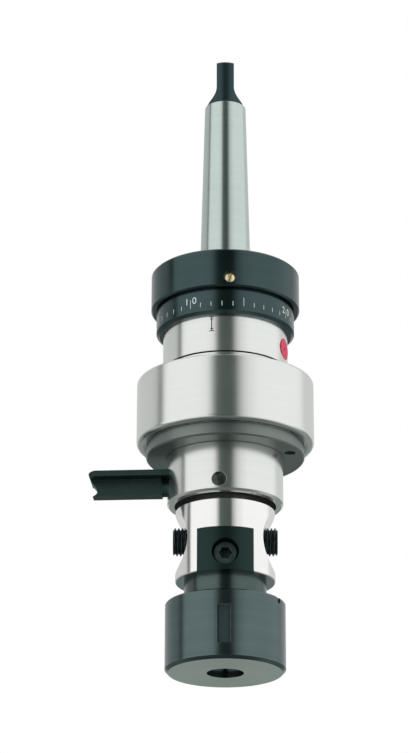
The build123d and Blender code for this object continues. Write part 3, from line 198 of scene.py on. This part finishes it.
# The nut: floor of its spanner slots as a band of radii over the face, and the worn face
SLOT_FLOOR_INNER_R = 18.5
SLOT_FLOOR_OUTER_R = 19.6
SLOT_FLOOR_OVER_FACE = 1.5
SLOT_FLOOR_COLOUR = (0.105, 0.148, 0.150)
NUT_ROUGHNESS = 0.24
SLOT_FLOOR_ROUGHNESS = 0.55
NUT_FACE_COLOUR = (0.66, 0.74, 0.69)

# Satin steel of the sleeves and the body, and painted shade on the lower faces of the drum
SATIN = {"dark": (0.75, 0.775, 0.745), "light": (0.80, 0.82, 0.795), "roughness": 0.22}
DRUM_UNDERSIDE_SHADE = (0.30, 0.37, 0.35)


# Node helpers


def add(tree, kind, **settings):
    """New node with its own settings, apart from its inputs."""
    node = tree.nodes.new(kind)
    for key, value in settings.items():
        setattr(node, key, value)
    return node


def fill(tree, node, values):
    """Sets inputs of a node to numbers, to colours or to outputs of other nodes."""
    for key, value in values.items():
        socket = node.inputs[key]
        if isinstance(value, (int, float)):
            socket.default_value = value
        elif isinstance(value, tuple):
            socket.default_value = (*value, 1)
        else:
            tree.links.new(value, socket)


def math_node(tree, operation, *values):
    node = add(tree, "ShaderNodeMath", operation=operation)
    fill(tree, node, dict(enumerate(values)))
    return node.outputs[0]


def split(tree, vector):
    """The three parts of a vector."""
    node = add(tree, "ShaderNodeSeparateXYZ")
    fill(tree, node, {0: vector})
    return tuple(node.outputs)


def object_place(tree):
    return add(tree, "ShaderNodeTexCoord").outputs["Object"]


def radius_and_height(tree):
    """Distance of a point from the axis, and its height."""
    x, y, z = split(tree, object_place(tree))
    squares = [math_node(tree, "MULTIPLY", side, side) for side in (x, y)]
    return math_node(tree, "SQRT", math_node(tree, "ADD", *squares)), z


def ring_vector(tree):
    """Radius and height as a vector, so that noise runs in rings round the axis."""
    radius, height = radius_and_height(tree)
    node = add(tree, "ShaderNodeCombineXYZ")
    fill(tree, node, {0: radius, 2: height})
    return node.outputs[0]


def noise(tree, vector, scale, detail):
    node = add(tree, "ShaderNodeTexNoise")
    fill(tree, node, {"Scale": scale, "Detail": detail, "Vector": vector})
    return node.outputs["Fac"]


def spread(tree, value, low, high, span):
    """Maps a span of values to the range from low to high."""
    node = add(tree, "ShaderNodeMapRange")
    fill(tree, node, {"From Min": span[0], "From Max": span[1], "To Min": low, "To Max": high})
    fill(tree, node, {"Value": value})
    return node.outputs["Result"]


def mixed(tree, factor, first, second):
    """Colour that runs from the first to the second as the factor runs from 0 to 1."""
    node = add(tree, "ShaderNodeMix", data_type="RGBA")
    fill(tree, node, {"Factor": factor, "A": first, "B": second})
    return node.outputs["Result"]


# Materials


def fresh_material(name):
    material = bpy.data.materials.new(name)
    material.use_nodes = True
    tree = material.node_tree
    return material, tree, tree.nodes["Principled BSDF"]


def soften_edges(tree):
    """Normal that rounds the sharp edges of a piece."""
    node = add(tree, "ShaderNodeBevel", samples=EDGE_SAMPLES)
    fill(tree, node, {"Radius": EDGE_SOFTNESS * MM})
    return node.outputs[0]


def bumped(tree, height, depth, normal):
    node = add(tree, "ShaderNodeBump")
    fill(tree, node, {"Strength": 1.0, "Distance": depth * MM, "Height": height, "Normal": normal})
    return node.outputs[0]


def edge_wear(tree, soft, colour, wear_glint):
    """Colour that gives way to the colour of wear and painted highlight where the softened normal
    leaves the true one.
    """
    dot = add(tree, "ShaderNodeVectorMath", operation="DOT_PRODUCT")
    true = add(tree, "ShaderNodeNewGeometry").outputs["True Normal"]
    fill(tree, dot, {0: true, 1: soft})
    return mixed(tree, spread(tree, dot.outputs["Value"], 1.0, 0.0, WEAR_GLINT_COSINES), colour, wear_glint)


def finish_surface(tree, shader, pattern, dark, light, relief, depth, wear_glint):
    """Colour after a pattern, relief over softened edges, and edge wear with a painted highlight
    if given a colour.
    """
    colour = mixed(tree, spread(tree, pattern, 0, 1, NOISE_RANGE), dark, light)
    soft = soften_edges(tree)
    if wear_glint:
        # Edges coloured lighter: wear, and a painted highlight
        colour = edge_wear(tree, soft, colour, wear_glint)
    fill(tree, shader, {"Base Color": colour, "Normal": bumped(tree, relief, depth, soft)})


def uneven_gloss(tree, pattern, roughness, shares):
    """Roughness that varies with a pattern, between two shares of its value."""
    return spread(tree, pattern, roughness * shares[0], roughness * shares[1], NOISE_RANGE)


def turned_metal(name, dark, light, roughness, depth=RING_RELIEF, stretch=STRETCH, wear_glint=None):
    """Metal with very fine rings from the lathe, patches of colour and uneven gloss."""
    material, tree, shader = fresh_material(name)
    rings = ring_vector(tree)
    bands = noise(tree, rings, *BROAD_RINGS)
    patches = noise(tree, object_place(tree), *PATCHES)
    pattern = math_node(tree, "ADD", math_node(tree, "MULTIPLY", bands, 0.5),
                        math_node(tree, "MULTIPLY", patches, 0.5))
    fine = noise(tree, rings, *FINE_RINGS)
    finish_surface(tree, shader, pattern, dark, light, fine, depth, wear_glint)
    tangent = add(tree, "ShaderNodeTangent", direction_type="RADIAL", axis="Z")
    fill(tree, shader, {
        "Roughness": uneven_gloss(tree, patches, roughness, METAL_GLOSS),
        "Metallic": 1.0,
        "Anisotropic": stretch,
        "Anisotropic Rotation": QUARTER_TURN,
        "Tangent": tangent.outputs[0],
    })
    return material


def plain_surface(name, dark, light, roughness, metallic=0.0, grain=GRAIN, depth=GRAIN_RELIEF,
                  wear_glint=None):
    """Surface with a fine grain in colour, gloss and relief."""
    material, tree, shader = fresh_material(name)
    pattern = noise(tree, object_place(tree), grain, GRAIN_DETAIL)
    finish_surface(tree, shader, pattern, dark, light, pattern, depth, wear_glint)
    gloss = uneven_gloss(tree, pattern, roughness, PLAIN_GLOSS)
    fill(tree, shader, {"Roughness": gloss, "Metallic": metallic})
    return material


def repaint(material, mask, colour, roughness=None):
    """Another colour where the mask is 1, and a second roughness there where a pair is given."""
    tree = material.node_tree
    shader = tree.nodes["Principled BSDF"]
    before = shader.inputs["Base Color"].links[0].from_socket
    fill(tree, shader, {"Base Color": mixed(tree, mask, before, colour)})
    if roughness:
        fill(tree, shader, {"Roughness": spread(tree, mask, *roughness, (0.0, 1.0))})


def facing_down(tree):
    """Mask of the faces that look down."""
    z = split(tree, add(tree, "ShaderNodeNewGeometry").outputs["True Normal"])[2]
    return spread(tree, z, 1.0, 0.0, DOWN_COSINES)


def ground_taper():
    """Ground shank whose tang, under the cone's own surface, keeps its black oxide."""
    material = turned_metal("ground_taper", (0.52, 0.60, 0.57), (0.58, 0.66, 0.63),
                            TAPER_ROUGHNESS)
    tree = material.node_tree
    radius, height = radius_and_height(tree)
    narrowing = math_node(tree, "MULTIPLY", height, TAPER_SLOPE)
    cone = math_node(tree, "SUBTRACT", TAPER_GAUGE_R * MM, narrowing)
    depth = math_node(tree, "SUBTRACT", cone, radius)
    under = math_node(tree, "GREATER_THAN", depth, TANG_UNDER_CONE * MM)
    repaint(material, under, TANG_COLOUR, (TAPER_ROUGHNESS, TANG_ROUGHNESS))
    return material


def sleeve_steel():
    """Satin steel with painted shade in the groove at the sleeve's lower end."""
    material = turned_metal("sleeve_steel", **SATIN)
    tree = material.node_tree
    radius, height = radius_and_height(tree)
    inside = math_node(tree, "LESS_THAN", radius, (SLEEVE_R - GROOVE_MARGIN) * MM)
    below = math_node(tree, "LESS_THAN", height, (GROOVE_TOP_Z + GROOVE_MARGIN) * MM)
    # Painted shade: the groove's floor and underside are coloured dark
    repaint(material, math_node(tree, "MULTIPLY", inside, below), GROOVE_SHADE_COLOUR)
    return material


def drum_steel():
    """Polished steel, with painted shade where it looks down."""
    material = turned_metal("polished_steel", (0.88, 0.875, 0.86), (0.92, 0.915, 0.90), 0.14,
                            depth=0.0002)
    # Painted shade: faces of the drum that look down are coloured darker
    repaint(material, facing_down(material.node_tree), DRUM_UNDERSIDE_SHADE)
    return material


def holder_oxide():
    """Black holder: matte block above the drum's lower edge, greyer turned neck below it."""
    material = turned_metal("holder_oxide", (0.075, 0.105, 0.102), (0.095, 0.130, 0.125),
                            NECK_ROUGHNESS)
    tree = material.node_tree
    above = math_node(tree, "GREATER_THAN", radius_and_height(tree)[1], DRUM_BOTTOM_Z * MM)
    repaint(material, above, MATTE_COLOUR, (NECK_ROUGHNESS, MATTE_ROUGHNESS))
    return material


def nut_oxide():
    """Grey oxide with a lighter, rougher floor in the spanner slots and a lower face lightened by
    wear.
    """
    # Lighter colour on the edges: wear and a painted highlight
    material = turned_metal("grey_oxide", (0.090, 0.128, 0.130), (0.114, 0.158, 0.160),
                            NUT_ROUGHNESS, wear_glint=(0.30, 0.34, 0.33))
    tree = material.node_tree
    radius, height = radius_and_height(tree)
    inside = math_node(tree, "LESS_THAN", radius, SLOT_FLOOR_OUTER_R * MM)
    outside = math_node(tree, "GREATER_THAN", radius, SLOT_FLOOR_INNER_R * MM)
    above = math_node(tree, "GREATER_THAN", height, (NUT_FACE_Z + SLOT_FLOOR_OVER_FACE) * MM)
    slot = math_node(tree, "MULTIPLY", math_node(tree, "MULTIPLY", inside, outside), above)
    repaint(material, slot, SLOT_FLOOR_COLOUR, (NUT_ROUGHNESS, SLOT_FLOOR_ROUGHNESS))
    repaint(material, facing_down(tree), NUT_FACE_COLOUR)
    return material


SATIN_STEEL = turned_metal("satin_steel", **SATIN)
COVER_STEEL = turned_metal("cover_steel", (0.195, 0.225, 0.212), (0.245, 0.275, 0.258), 0.42,
                           stretch=0.3)
GROUND_TAPER = ground_taper()
SLEEVE_STEEL = sleeve_steel()
POLISHED_STEEL = drum_steel()
HOLDER_OXIDE = holder_oxide()
GREY_OXIDE = nut_oxide()
# Colours given for the edges below are wear and a painted highlight
BLACK_OXIDE = turned_metal("black_oxide", (0.050, 0.080, 0.084), (0.064, 0.098, 0.102), 0.22,
                           wear_glint=(0.11, 0.15, 0.15))
DARK_OXIDE = turned_metal("dark_oxide", (0.024, 0.044, 0.042), (0.034, 0.056, 0.054), 0.30,
                          wear_glint=(0.07, 0.09, 0.09))
MATTE_OXIDE = turned_metal("matte_oxide", (0.045, 0.082, 0.074), (0.062, 0.108, 0.100), 0.46,
                           stretch=0.0, wear_glint=(0.16, 0.20, 0.19))
SOCKET_OXIDE = plain_surface("socket_oxide", (0.060, 0.090, 0.090), (0.090, 0.128, 0.128), 0.50,
                             metallic=1.0, wear_glint=(0.32, 0.38, 0.37))
GEAR_STEEL = plain_surface("gear_steel", (0.40, 0.40, 0.39), (0.55, 0.55, 0.54), 0.32,
                           metallic=1.0)
SPRING_STEEL = plain_surface("spring_steel", (0.16, 0.15, 0.14), (0.26, 0.25, 0.24), 0.36,
                             metallic=1.0)
DARK_SCREW = plain_surface("dark_screw", (0.055, 0.065, 0.062), (0.11, 0.125, 0.12), 0.34,
                           metallic=1.0)
SCREW_STEEL = plain_surface("screw_steel", (0.22, 0.23, 0.22), (0.34, 0.35, 0.34), 0.34,
                            metallic=1.0)
BRASS = plain_surface("brass", (0.92, 0.72, 0.38), (0.99, 0.88, 0.60), 0.24, metallic=1.0)
BRONZE = plain_surface("bronze", (0.36, 0.21, 0.09), (0.50, 0.31, 0.15), 0.34, metallic=1.0)
LINING = plain_surface("friction_lining", (0.10, 0.06, 0.035), (0.19, 0.12, 0.07), 0.85,
                       grain=900.0, depth=0.03)
RED_PLASTIC = plain_surface("red_plastic", (0.60, 0.015, 0.060), (0.72, 0.03, 0.10), 0.50,
                            grain=300.0, depth=0.002)
RUBBER = plain_surface("rubber", (0.003, 0.007, 0.006), (0.007, 0.013, 0.011), 0.85)
SCALE_WHITE = plain_surface("scale_white", (0.62, 0.68, 0.66), (0.80, 0.84, 0.82), 0.55)
ENGRAVED = plain_surface("engraved", (0.020, 0.022, 0.020), (0.05, 0.055, 0.05), 0.60)

# Every node that is not named here is gear steel
NODES_BY_FINISH = (
    (GROUND_TAPER, "shank"),
    (SLEEVE_STEEL, "upper_sleeve"),
    (SATIN_STEEL, "body_shell stop_sleeve collet"),
    (COVER_STEEL, "cover_ring cover_seal"),
    (POLISHED_STEEL, "spindle"),
    (BLACK_OXIDE, "adjusting_ring scale_ring"),
    (HOLDER_OXIDE, "collet_holder"),
    (GREY_OXIDE, "collet_nut"),
    (MATTE_OXIDE, "stop_arm arm_stud"),
    (DARK_OXIDE, "holder_stud_left holder_stud_right"),
    (SOCKET_OXIDE, "tap_clamp_front tap_clamp_back"),
    (BRASS, "lock_screw"),
    (DARK_SCREW, "set_screw"),
    (SCREW_STEEL, "joint_screws"),
    (RED_PLASTIC, "red_plug"),
    (RUBBER, "wiper_ring"),
    (LINING, "friction_discs"),
    (BRONZE, "driver_bush sun_bush stop_bush"),
    (SPRING_STEEL, "disc_springs float_spring clutch_plates"),
    (SPRING_STEEL, "sleeve_snap_ring driver_clip bearing_clip"),
)


def finish_nodes():
    finish_of = {name: finish for finish, names in NODES_BY_FINISH for name in names.split()}
    for name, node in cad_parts.items():
        node.data.materials.clear()
        node.data.materials.append(finish_of.get(name, GEAR_STEEL))


# Pieces drawn here


def azimuth_point(azimuth, radius, z):
    """Point in metres, from millimetres."""
    a = math.radians(azimuth)
    return Vector((radius * math.sin(a), -radius * math.cos(a), z)) * MM


def radial_axes(azimuth):
    """Directions outwards and sideways at an azimuth."""
    a = math.radians(azimuth)
    return Vector((math.sin(a), -math.cos(a), 0)), Vector((math.cos(a), math.sin(a), 0))


def piece(name, vertices, faces, material, body):
    """Object that rides a body of the mechanism."""
    mesh = bpy.data.meshes.new(name)
    mesh.from_pydata(vertices, [], faces)
    mesh.materials.append(material)
    mesh.validate()
    made = bpy.data.objects.new(name, mesh)
    bpy.context.scene.collection.objects.link(made)
    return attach(made, body)


def joined(parts):
    """Several parts as one: vertices and faces."""
    vertices, faces = [], []
    for some_vertices, some_faces in parts:
        start = len(vertices)
        vertices += some_vertices
        faces += [tuple(start + k for k in face) for face in some_faces]
    return vertices, faces


def tube_faces(rows, sides):
    """Faces between rings of vertices that follow each other."""
    faces = []
    for here in range(0, rows * sides, sides):
        then = here + sides
        for k in range(sides):
            after = (k + 1) % sides
            faces.append((here + k, here + after, then + after, then + k))
    return faces


def curved_bar(radius, azimuth, low, high, width, proud):
    """Thin bar on a cylinder's side: vertices and faces."""
    half = math.degrees(width / 2 / radius)
    corners = []
    for r in (radius - MARK_DEPTH, radius + proud):
        for a in (azimuth - half, azimuth + half):
            for z in (low, high):
                corners.append(azimuth_point(a, r, z))
    faces = [(0, 1, 3, 2), (4, 6, 7, 5), (0, 4, 5, 1), (2, 3, 7, 6), (0, 2, 6, 4), (1, 5, 7, 3)]
    return corners, faces


def wrapped_text(text, size, azimuth, z, radius):
    """Text wrapped on a cylinder as thin solid strokes."""
    curve = bpy.data.curves.new("text", "FONT")
    curve.body = text
    curve.size = size
    curve.align_x = "CENTER"
    curve.extrude = MARK_DEPTH
    writer = bpy.data.objects.new("text", curve)
    bpy.context.scene.collection.objects.link(writer)
    bpy.context.view_layer.update()
    ready = writer.evaluated_get(bpy.context.evaluated_depsgraph_get())
    mesh = bpy.data.meshes.new_from_object(ready)
    vertices = []
    for vertex in mesh.vertices:
        x, y, depth = vertex.co
        turn = math.degrees(x / radius)
        vertices.append(azimuth_point(azimuth + turn, radius + depth - MARK_DEPTH / 2, z + y))
    faces = [tuple(polygon.vertices) for polygon in mesh.polygons]
    bpy.data.objects.remove(writer)
    return vertices, faces


def scale_marks():
    """Ticks and numbers of the torque scale."""
    parts = []
    half_step = math.degrees(DIGIT_STEP / 2 / SCALE_R)
    for step in range(SCALE_LAST + 1):
        azimuth = SCALE_ZERO_AZIMUTH + SCALE_DIVISION * step
        top = TICK_BOTTOM_Z + (TICK_SHORT if step % LONG_TICK_EVERY else TICK_LONG)
        parts.append(curved_bar(SCALE_R, azimuth, TICK_BOTTOM_Z, top, TICK_WIDTH, MARK_DEPTH / 2))
        if step % NUMBER_EVERY == 0:
            for digit, side in zip(str(step), (-1, 1) if step else (1,)):
                parts.append(wrapped_text(digit, DIGIT_HEIGHT * FONT_SIZE_PER_HEIGHT,
                                          azimuth + side * half_step, DIGIT_Z, SCALE_R))
    piece("scale_marks", *joined(parts), SCALE_WHITE, "torque_ring")


def index_mark():
    """Engraved index line with two short bars at each end."""
    parts = [curved_bar(SLEEVE_R, INDEX_AZIMUTH, INDEX_BOTTOM_Z, INDEX_TOP_Z, INDEX_WIDTH,
                        INDEX_PROUD)]
    for z, step in ((INDEX_BOTTOM_Z, 1), (INDEX_TOP_Z, -1)):
        for row, width in enumerate(INDEX_BARS):
            middle = z + step * row * INDEX_BAR_GAP
            count = math.ceil(width / INDEX_BAR_STEP)
            for k in range(count):
                shift = math.degrees((k + 0.5 - count / 2) * width / count / SLEEVE_R)
                parts.append(curved_bar(SLEEVE_R, INDEX_AZIMUTH + shift, middle - INDEX_BAR / 2,
                                        middle + INDEX_BAR / 2, width / count, INDEX_PROUD))
    piece("index_mark", *joined(parts), ENGRAVED, "drive_housing")


def thread_height(turns):
    """Share of the thread's depth at a place in the pitch: crest, flank, root, flank."""
    from_root = abs(turns % 1.0 - 0.5)
    return min(1.0, max(0.0, (from_root - THREAD_HALF_ROOT) / THREAD_FLANK))


def hexagon_r(angle):
    """Distance from the centre to a hexagon's side, with a corner at angle 0."""
    return SOCKET_HALF / math.cos(angle % (math.pi / 3) - math.pi / 6)


def stud_rings():
    """Rings of (distance out, radius, angle): the thread from its inner end, then the socket."""
    root_r = STUD_R - THREAD_DEPTH
    length = STUD_END_R - STUD_INNER_R
    rows = int(length / THREAD_PITCH * THREAD_ROWS)
    angles = [2 * math.pi * k / THREAD_SIDES for k in range(THREAD_SIDES)]
    rings = []
    for row in range(rows + 1):
        s = STUD_INNER_R + length * row / rows
        limit = STUD_R - STUD_CHAMFER + min(STUD_END_R - s, s - STUD_INNER_R)
        ring = []
        for t in angles:
            thread_r = root_r + THREAD_DEPTH * thread_height(s / THREAD_PITCH + t / 2 / math.pi)
            ring.append((s, min(limit, thread_r), t))
        rings.append(ring)
    for s in (STUD_END_R, STUD_END_R - SOCKET_DEPTH):
        rings.append([(s, hexagon_r(t), t) for t in angles])
    return rings


def threaded_stud(name, node, azimuth, body):
    """Threaded headless screw along a radius, with a hexagon socket in its outer end."""
    out, side = radial_axes(azimuth)
    rings = stud_rings()
    vertices = []
    for ring in rings:
        for s, r, t in ring:
            height = Vector((0, 0, STUD_Z + r * math.sin(t)))
            vertices.append((out * s + side * (r * math.cos(t)) + height) * MM)
    last = len(rings) - 1
    faces = tube_faces(last, THREAD_SIDES)
    for row, s in ((0, STUD_INNER_R), (last, STUD_END_R - SOCKET_DEPTH - SOCKET_CONE)):
        centre = len(vertices)
        vertices.append((out * s + Vector((0, 0, STUD_Z))) * MM)
        for k in range(THREAD_SIDES):
            pair = (row * THREAD_SIDES + (k + 1) % THREAD_SIDES, row * THREAD_SIDES + k)
            faces.append((*(pair if row == 0 else pair[::-1]), centre))
    made = piece(name, vertices, faces, DARK_OXIDE, body)
    made.data.polygons.foreach_set("use_smooth", [True] * len(made.data.polygons))
    made.data.set_sharp_from_angle(angle=math.radians(STUD_SHARP_ANGLE))
    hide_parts(node)


def slotted_screw(name, node, body, material, azimuth, z, radius, inner, outer, tilt, dome_r,
                  tip_r=None, tip_inner=None):
    """Round screw along a radius, domed and slotted outside, with a thinner tip if given."""
    out, side = radial_axes(azimuth)
    up = Vector((0, 0, 1))
    lean = math.radians(tilt)
    along = side * math.cos(lean) + up * math.sin(lean)
    across = up * math.cos(lean) - side * math.sin(lean)
    half_slot = SCREW_SLOT / 2
    floor_s = outer - SCREW_SLOT_DEPTH

    def place(s, x, y):
        return (out * s + along * x + across * y + up * z) * MM

    def dome_s(x, y):
        return outer - (dome_r - math.sqrt(dome_r ** 2 - x * x - y * y))

    def rod(rod_r, start_s, end_s):
        count = HEAD_STEPS * 2
        angles = [math.pi * k / HEAD_STEPS for k in range(count)]
        vertices = [place(s, rod_r * math.cos(t), rod_r * math.sin(t))
                    for s in (start_s, end_s) for t in angles]
        caps = [tuple(reversed(range(count))), tuple(range(count, 2 * count))]
        return vertices, tube_faces(1, count) + caps

    def half_head(sign):
        """One side of the slot: the dome in rows from slot to rim, and the walls at both."""
        vertices, faces = [], []
        start = math.asin(half_slot / radius)
        for k in range(HEAD_STEPS + 1):
            t = start + (math.pi - 2 * start) * k / HEAD_STEPS
            x, rim = radius * math.cos(t), radius * math.sin(t)
            for q in range(HEAD_ROWS + 1):
                y = half_slot + (rim - half_slot) * q / HEAD_ROWS
                vertices.append(place(dome_s(x, y), x, sign * y))
            for y in (half_slot, rim):
                vertices.append(place(floor_s - HEAD_OVERLAP, x, sign * y))
        edge_low, rim_low = HEAD_ROWS + 1, HEAD_ROWS + 2
        strips = [(q, q + 1) for q in range(HEAD_ROWS)] + [(HEAD_ROWS, rim_low), (edge_low, 0)]
        for k in range(HEAD_STEPS):
            here, then = k * (HEAD_ROWS + 3), (k + 1) * (HEAD_ROWS + 3)
            for first, second in strips:
                face = (here + first, then + first, then + second, here + second)
                faces.append(face if sign < 0 else face[::-1])
        return vertices, faces

    parts = [rod(radius, inner, floor_s)]
    if tip_r:
        parts.append(rod(tip_r, tip_inner, inner))
    parts += [half_head(1), half_head(-1)]
    made = piece(name, *joined(parts), material, body)
    made.data.set_sharp_from_angle(angle=math.radians(HEAD_SHARP_ANGLE))
    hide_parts(node)


# Studio


def brightness(value):
    """Grey of a brightness, tinted in the dark gap."""
    tint = GAP_TINT if value < GAP_BRIGHTNESS else (1.0, 1.0, 1.0)
    return (*(value * share for share in tint), 1)


def reflections(tree):
    """Brightness by azimuth, dimmer low down at the back and darker steeply below."""
    x, y, z = split(tree, add(tree, "ShaderNodeTexCoord").outputs["Generated"])
    angle = math_node(tree, "ARCTAN2", x, math_node(tree, "MULTIPLY", y, -1.0))
    turn = math_node(tree, "ADD", math_node(tree, "DIVIDE", angle, 2 * math.pi), 0.5)
    ramp = add(tree, "ShaderNodeValToRGB")
    fill(tree, ramp, {0: turn})
    elements = ramp.color_ramp.elements
    while len(elements) < len(MIRRORED):
        elements.new(0.5)
    for element, (azimuth, value) in zip(elements, MIRRORED):
        element.position = azimuth / 360 + 0.5
        element.color = brightness(value)
    low = spread(tree, z, 1.0, 0.0, LOW_SHARES)
    back = spread(tree, y, 0.0, 1.0, BACK_SHARES)
    dimmed = mixed(tree, math_node(tree, "MULTIPLY", low, back), ramp.outputs[0], LOW_BACK_COLOUR)
    return mixed(tree, spread(tree, z, 1.0, 0.0, STEEP_SHARES), dimmed, STEEP_COLOUR)


def studio_world():
    """White for the camera, the mirrored studio for glossy rays, and an even grey for others."""
    world = bpy.data.worlds.new("studio")
    bpy.context.scene.world = world
    world.use_nodes = True
    tree = world.node_tree
    path = add(tree, "ShaderNodeLightPath")
    is_camera, is_glossy, is_transmission = (
        path.outputs[f"Is {kind} Ray"] for kind in ("Camera", "Glossy", "Transmission"))
    lit = mixed(tree, is_glossy, DIFFUSE_WORLD, reflections(tree))
    direct = math_node(tree, "MAXIMUM", is_camera, is_transmission)
    colour = mixed(tree, direct, lit, CAMERA_WORLD)
    fill(tree, tree.nodes["Background"], {"Color": colour, "Strength": 1.0})


def floor():
    material, tree, shader = fresh_material("floor_white")
    colour = mixed(tree, noise(tree, object_place(tree), *FLOOR_NOISE), *FLOOR_COLOURS)
    fill(tree, shader, {"Base Color": colour, "Roughness": FLOOR_ROUGHNESS})
    bpy.ops.mesh.primitive_circle_add(vertices=FLOOR_SIDES, radius=FLOOR_R * MM, fill_type="NGON",
                                      location=(0, 0, FLOOR_Z * MM))
    made = bpy.context.object
    made.name = "floor"
    made.visible_glossy = False
    made.data.materials.append(material)


def soft_box(name, azimuth):
    """Area light that glossy faces don't mirror."""
    light = bpy.data.lights.new(name, "AREA")
    light.shape = "RECTANGLE"
    light.size = BOX_WIDTH * MM
    light.size_y = BOX_LENGTH * MM
    light.energy = BOX_POWER
    lamp = bpy.data.objects.new(name, light)
    lamp.location = azimuth_point(azimuth, BOX_AWAY, BOX_Z)
    lamp.visible_glossy = False
    aim = Vector((0, 0, BOX_AIM_Z)) * MM - lamp.location
    lamp.rotation_euler = aim.to_track_quat("-Z", "Y").to_euler()
    bpy.context.scene.collection.objects.link(lamp)


def camera():
    data = bpy.data.cameras.new("camera")
    data.lens = FOCAL_PX * data.sensor_width / FRAME_PX
    data.shift_x = -AXIS_RIGHT_PX / FRAME_PX
    data.clip_start = CLIP_NEAR * MM
    data.clip_end = CLIP_FAR * MM
    made = bpy.data.objects.new("camera", data)
    made.location = Vector((0, -CAMERA_AWAY, NUT_FACE_Z - CAMERA_BELOW_NUT)) * MM
    made.rotation_euler = (math.pi / 2 + CAMERA_PITCH, 0, 0)
    bpy.context.scene.collection.objects.link(made)
    bpy.context.scene.camera = made


finish_nodes()
scale_marks()
index_mark()
threaded_stud("threaded_stud_left", "holder_stud_left", -90, "stud_left")
threaded_stud("threaded_stud_right", "holder_stud_right", 90, "stud_right")
slotted_screw("slotted_lock_screw", "lock_screw", "lock_screw", BRASS, **LOCK_SCREW)
slotted_screw("slotted_set_screw", "set_screw", "stop_carrier", DARK_SCREW, **SET_SCREW)
studio_world()
floor()
for box_name, box_azimuth in SOFT_BOXES:
    soft_box(box_name, box_azimuth)
camera()
bpy.context.scene.view_settings.view_transform = "Standard"
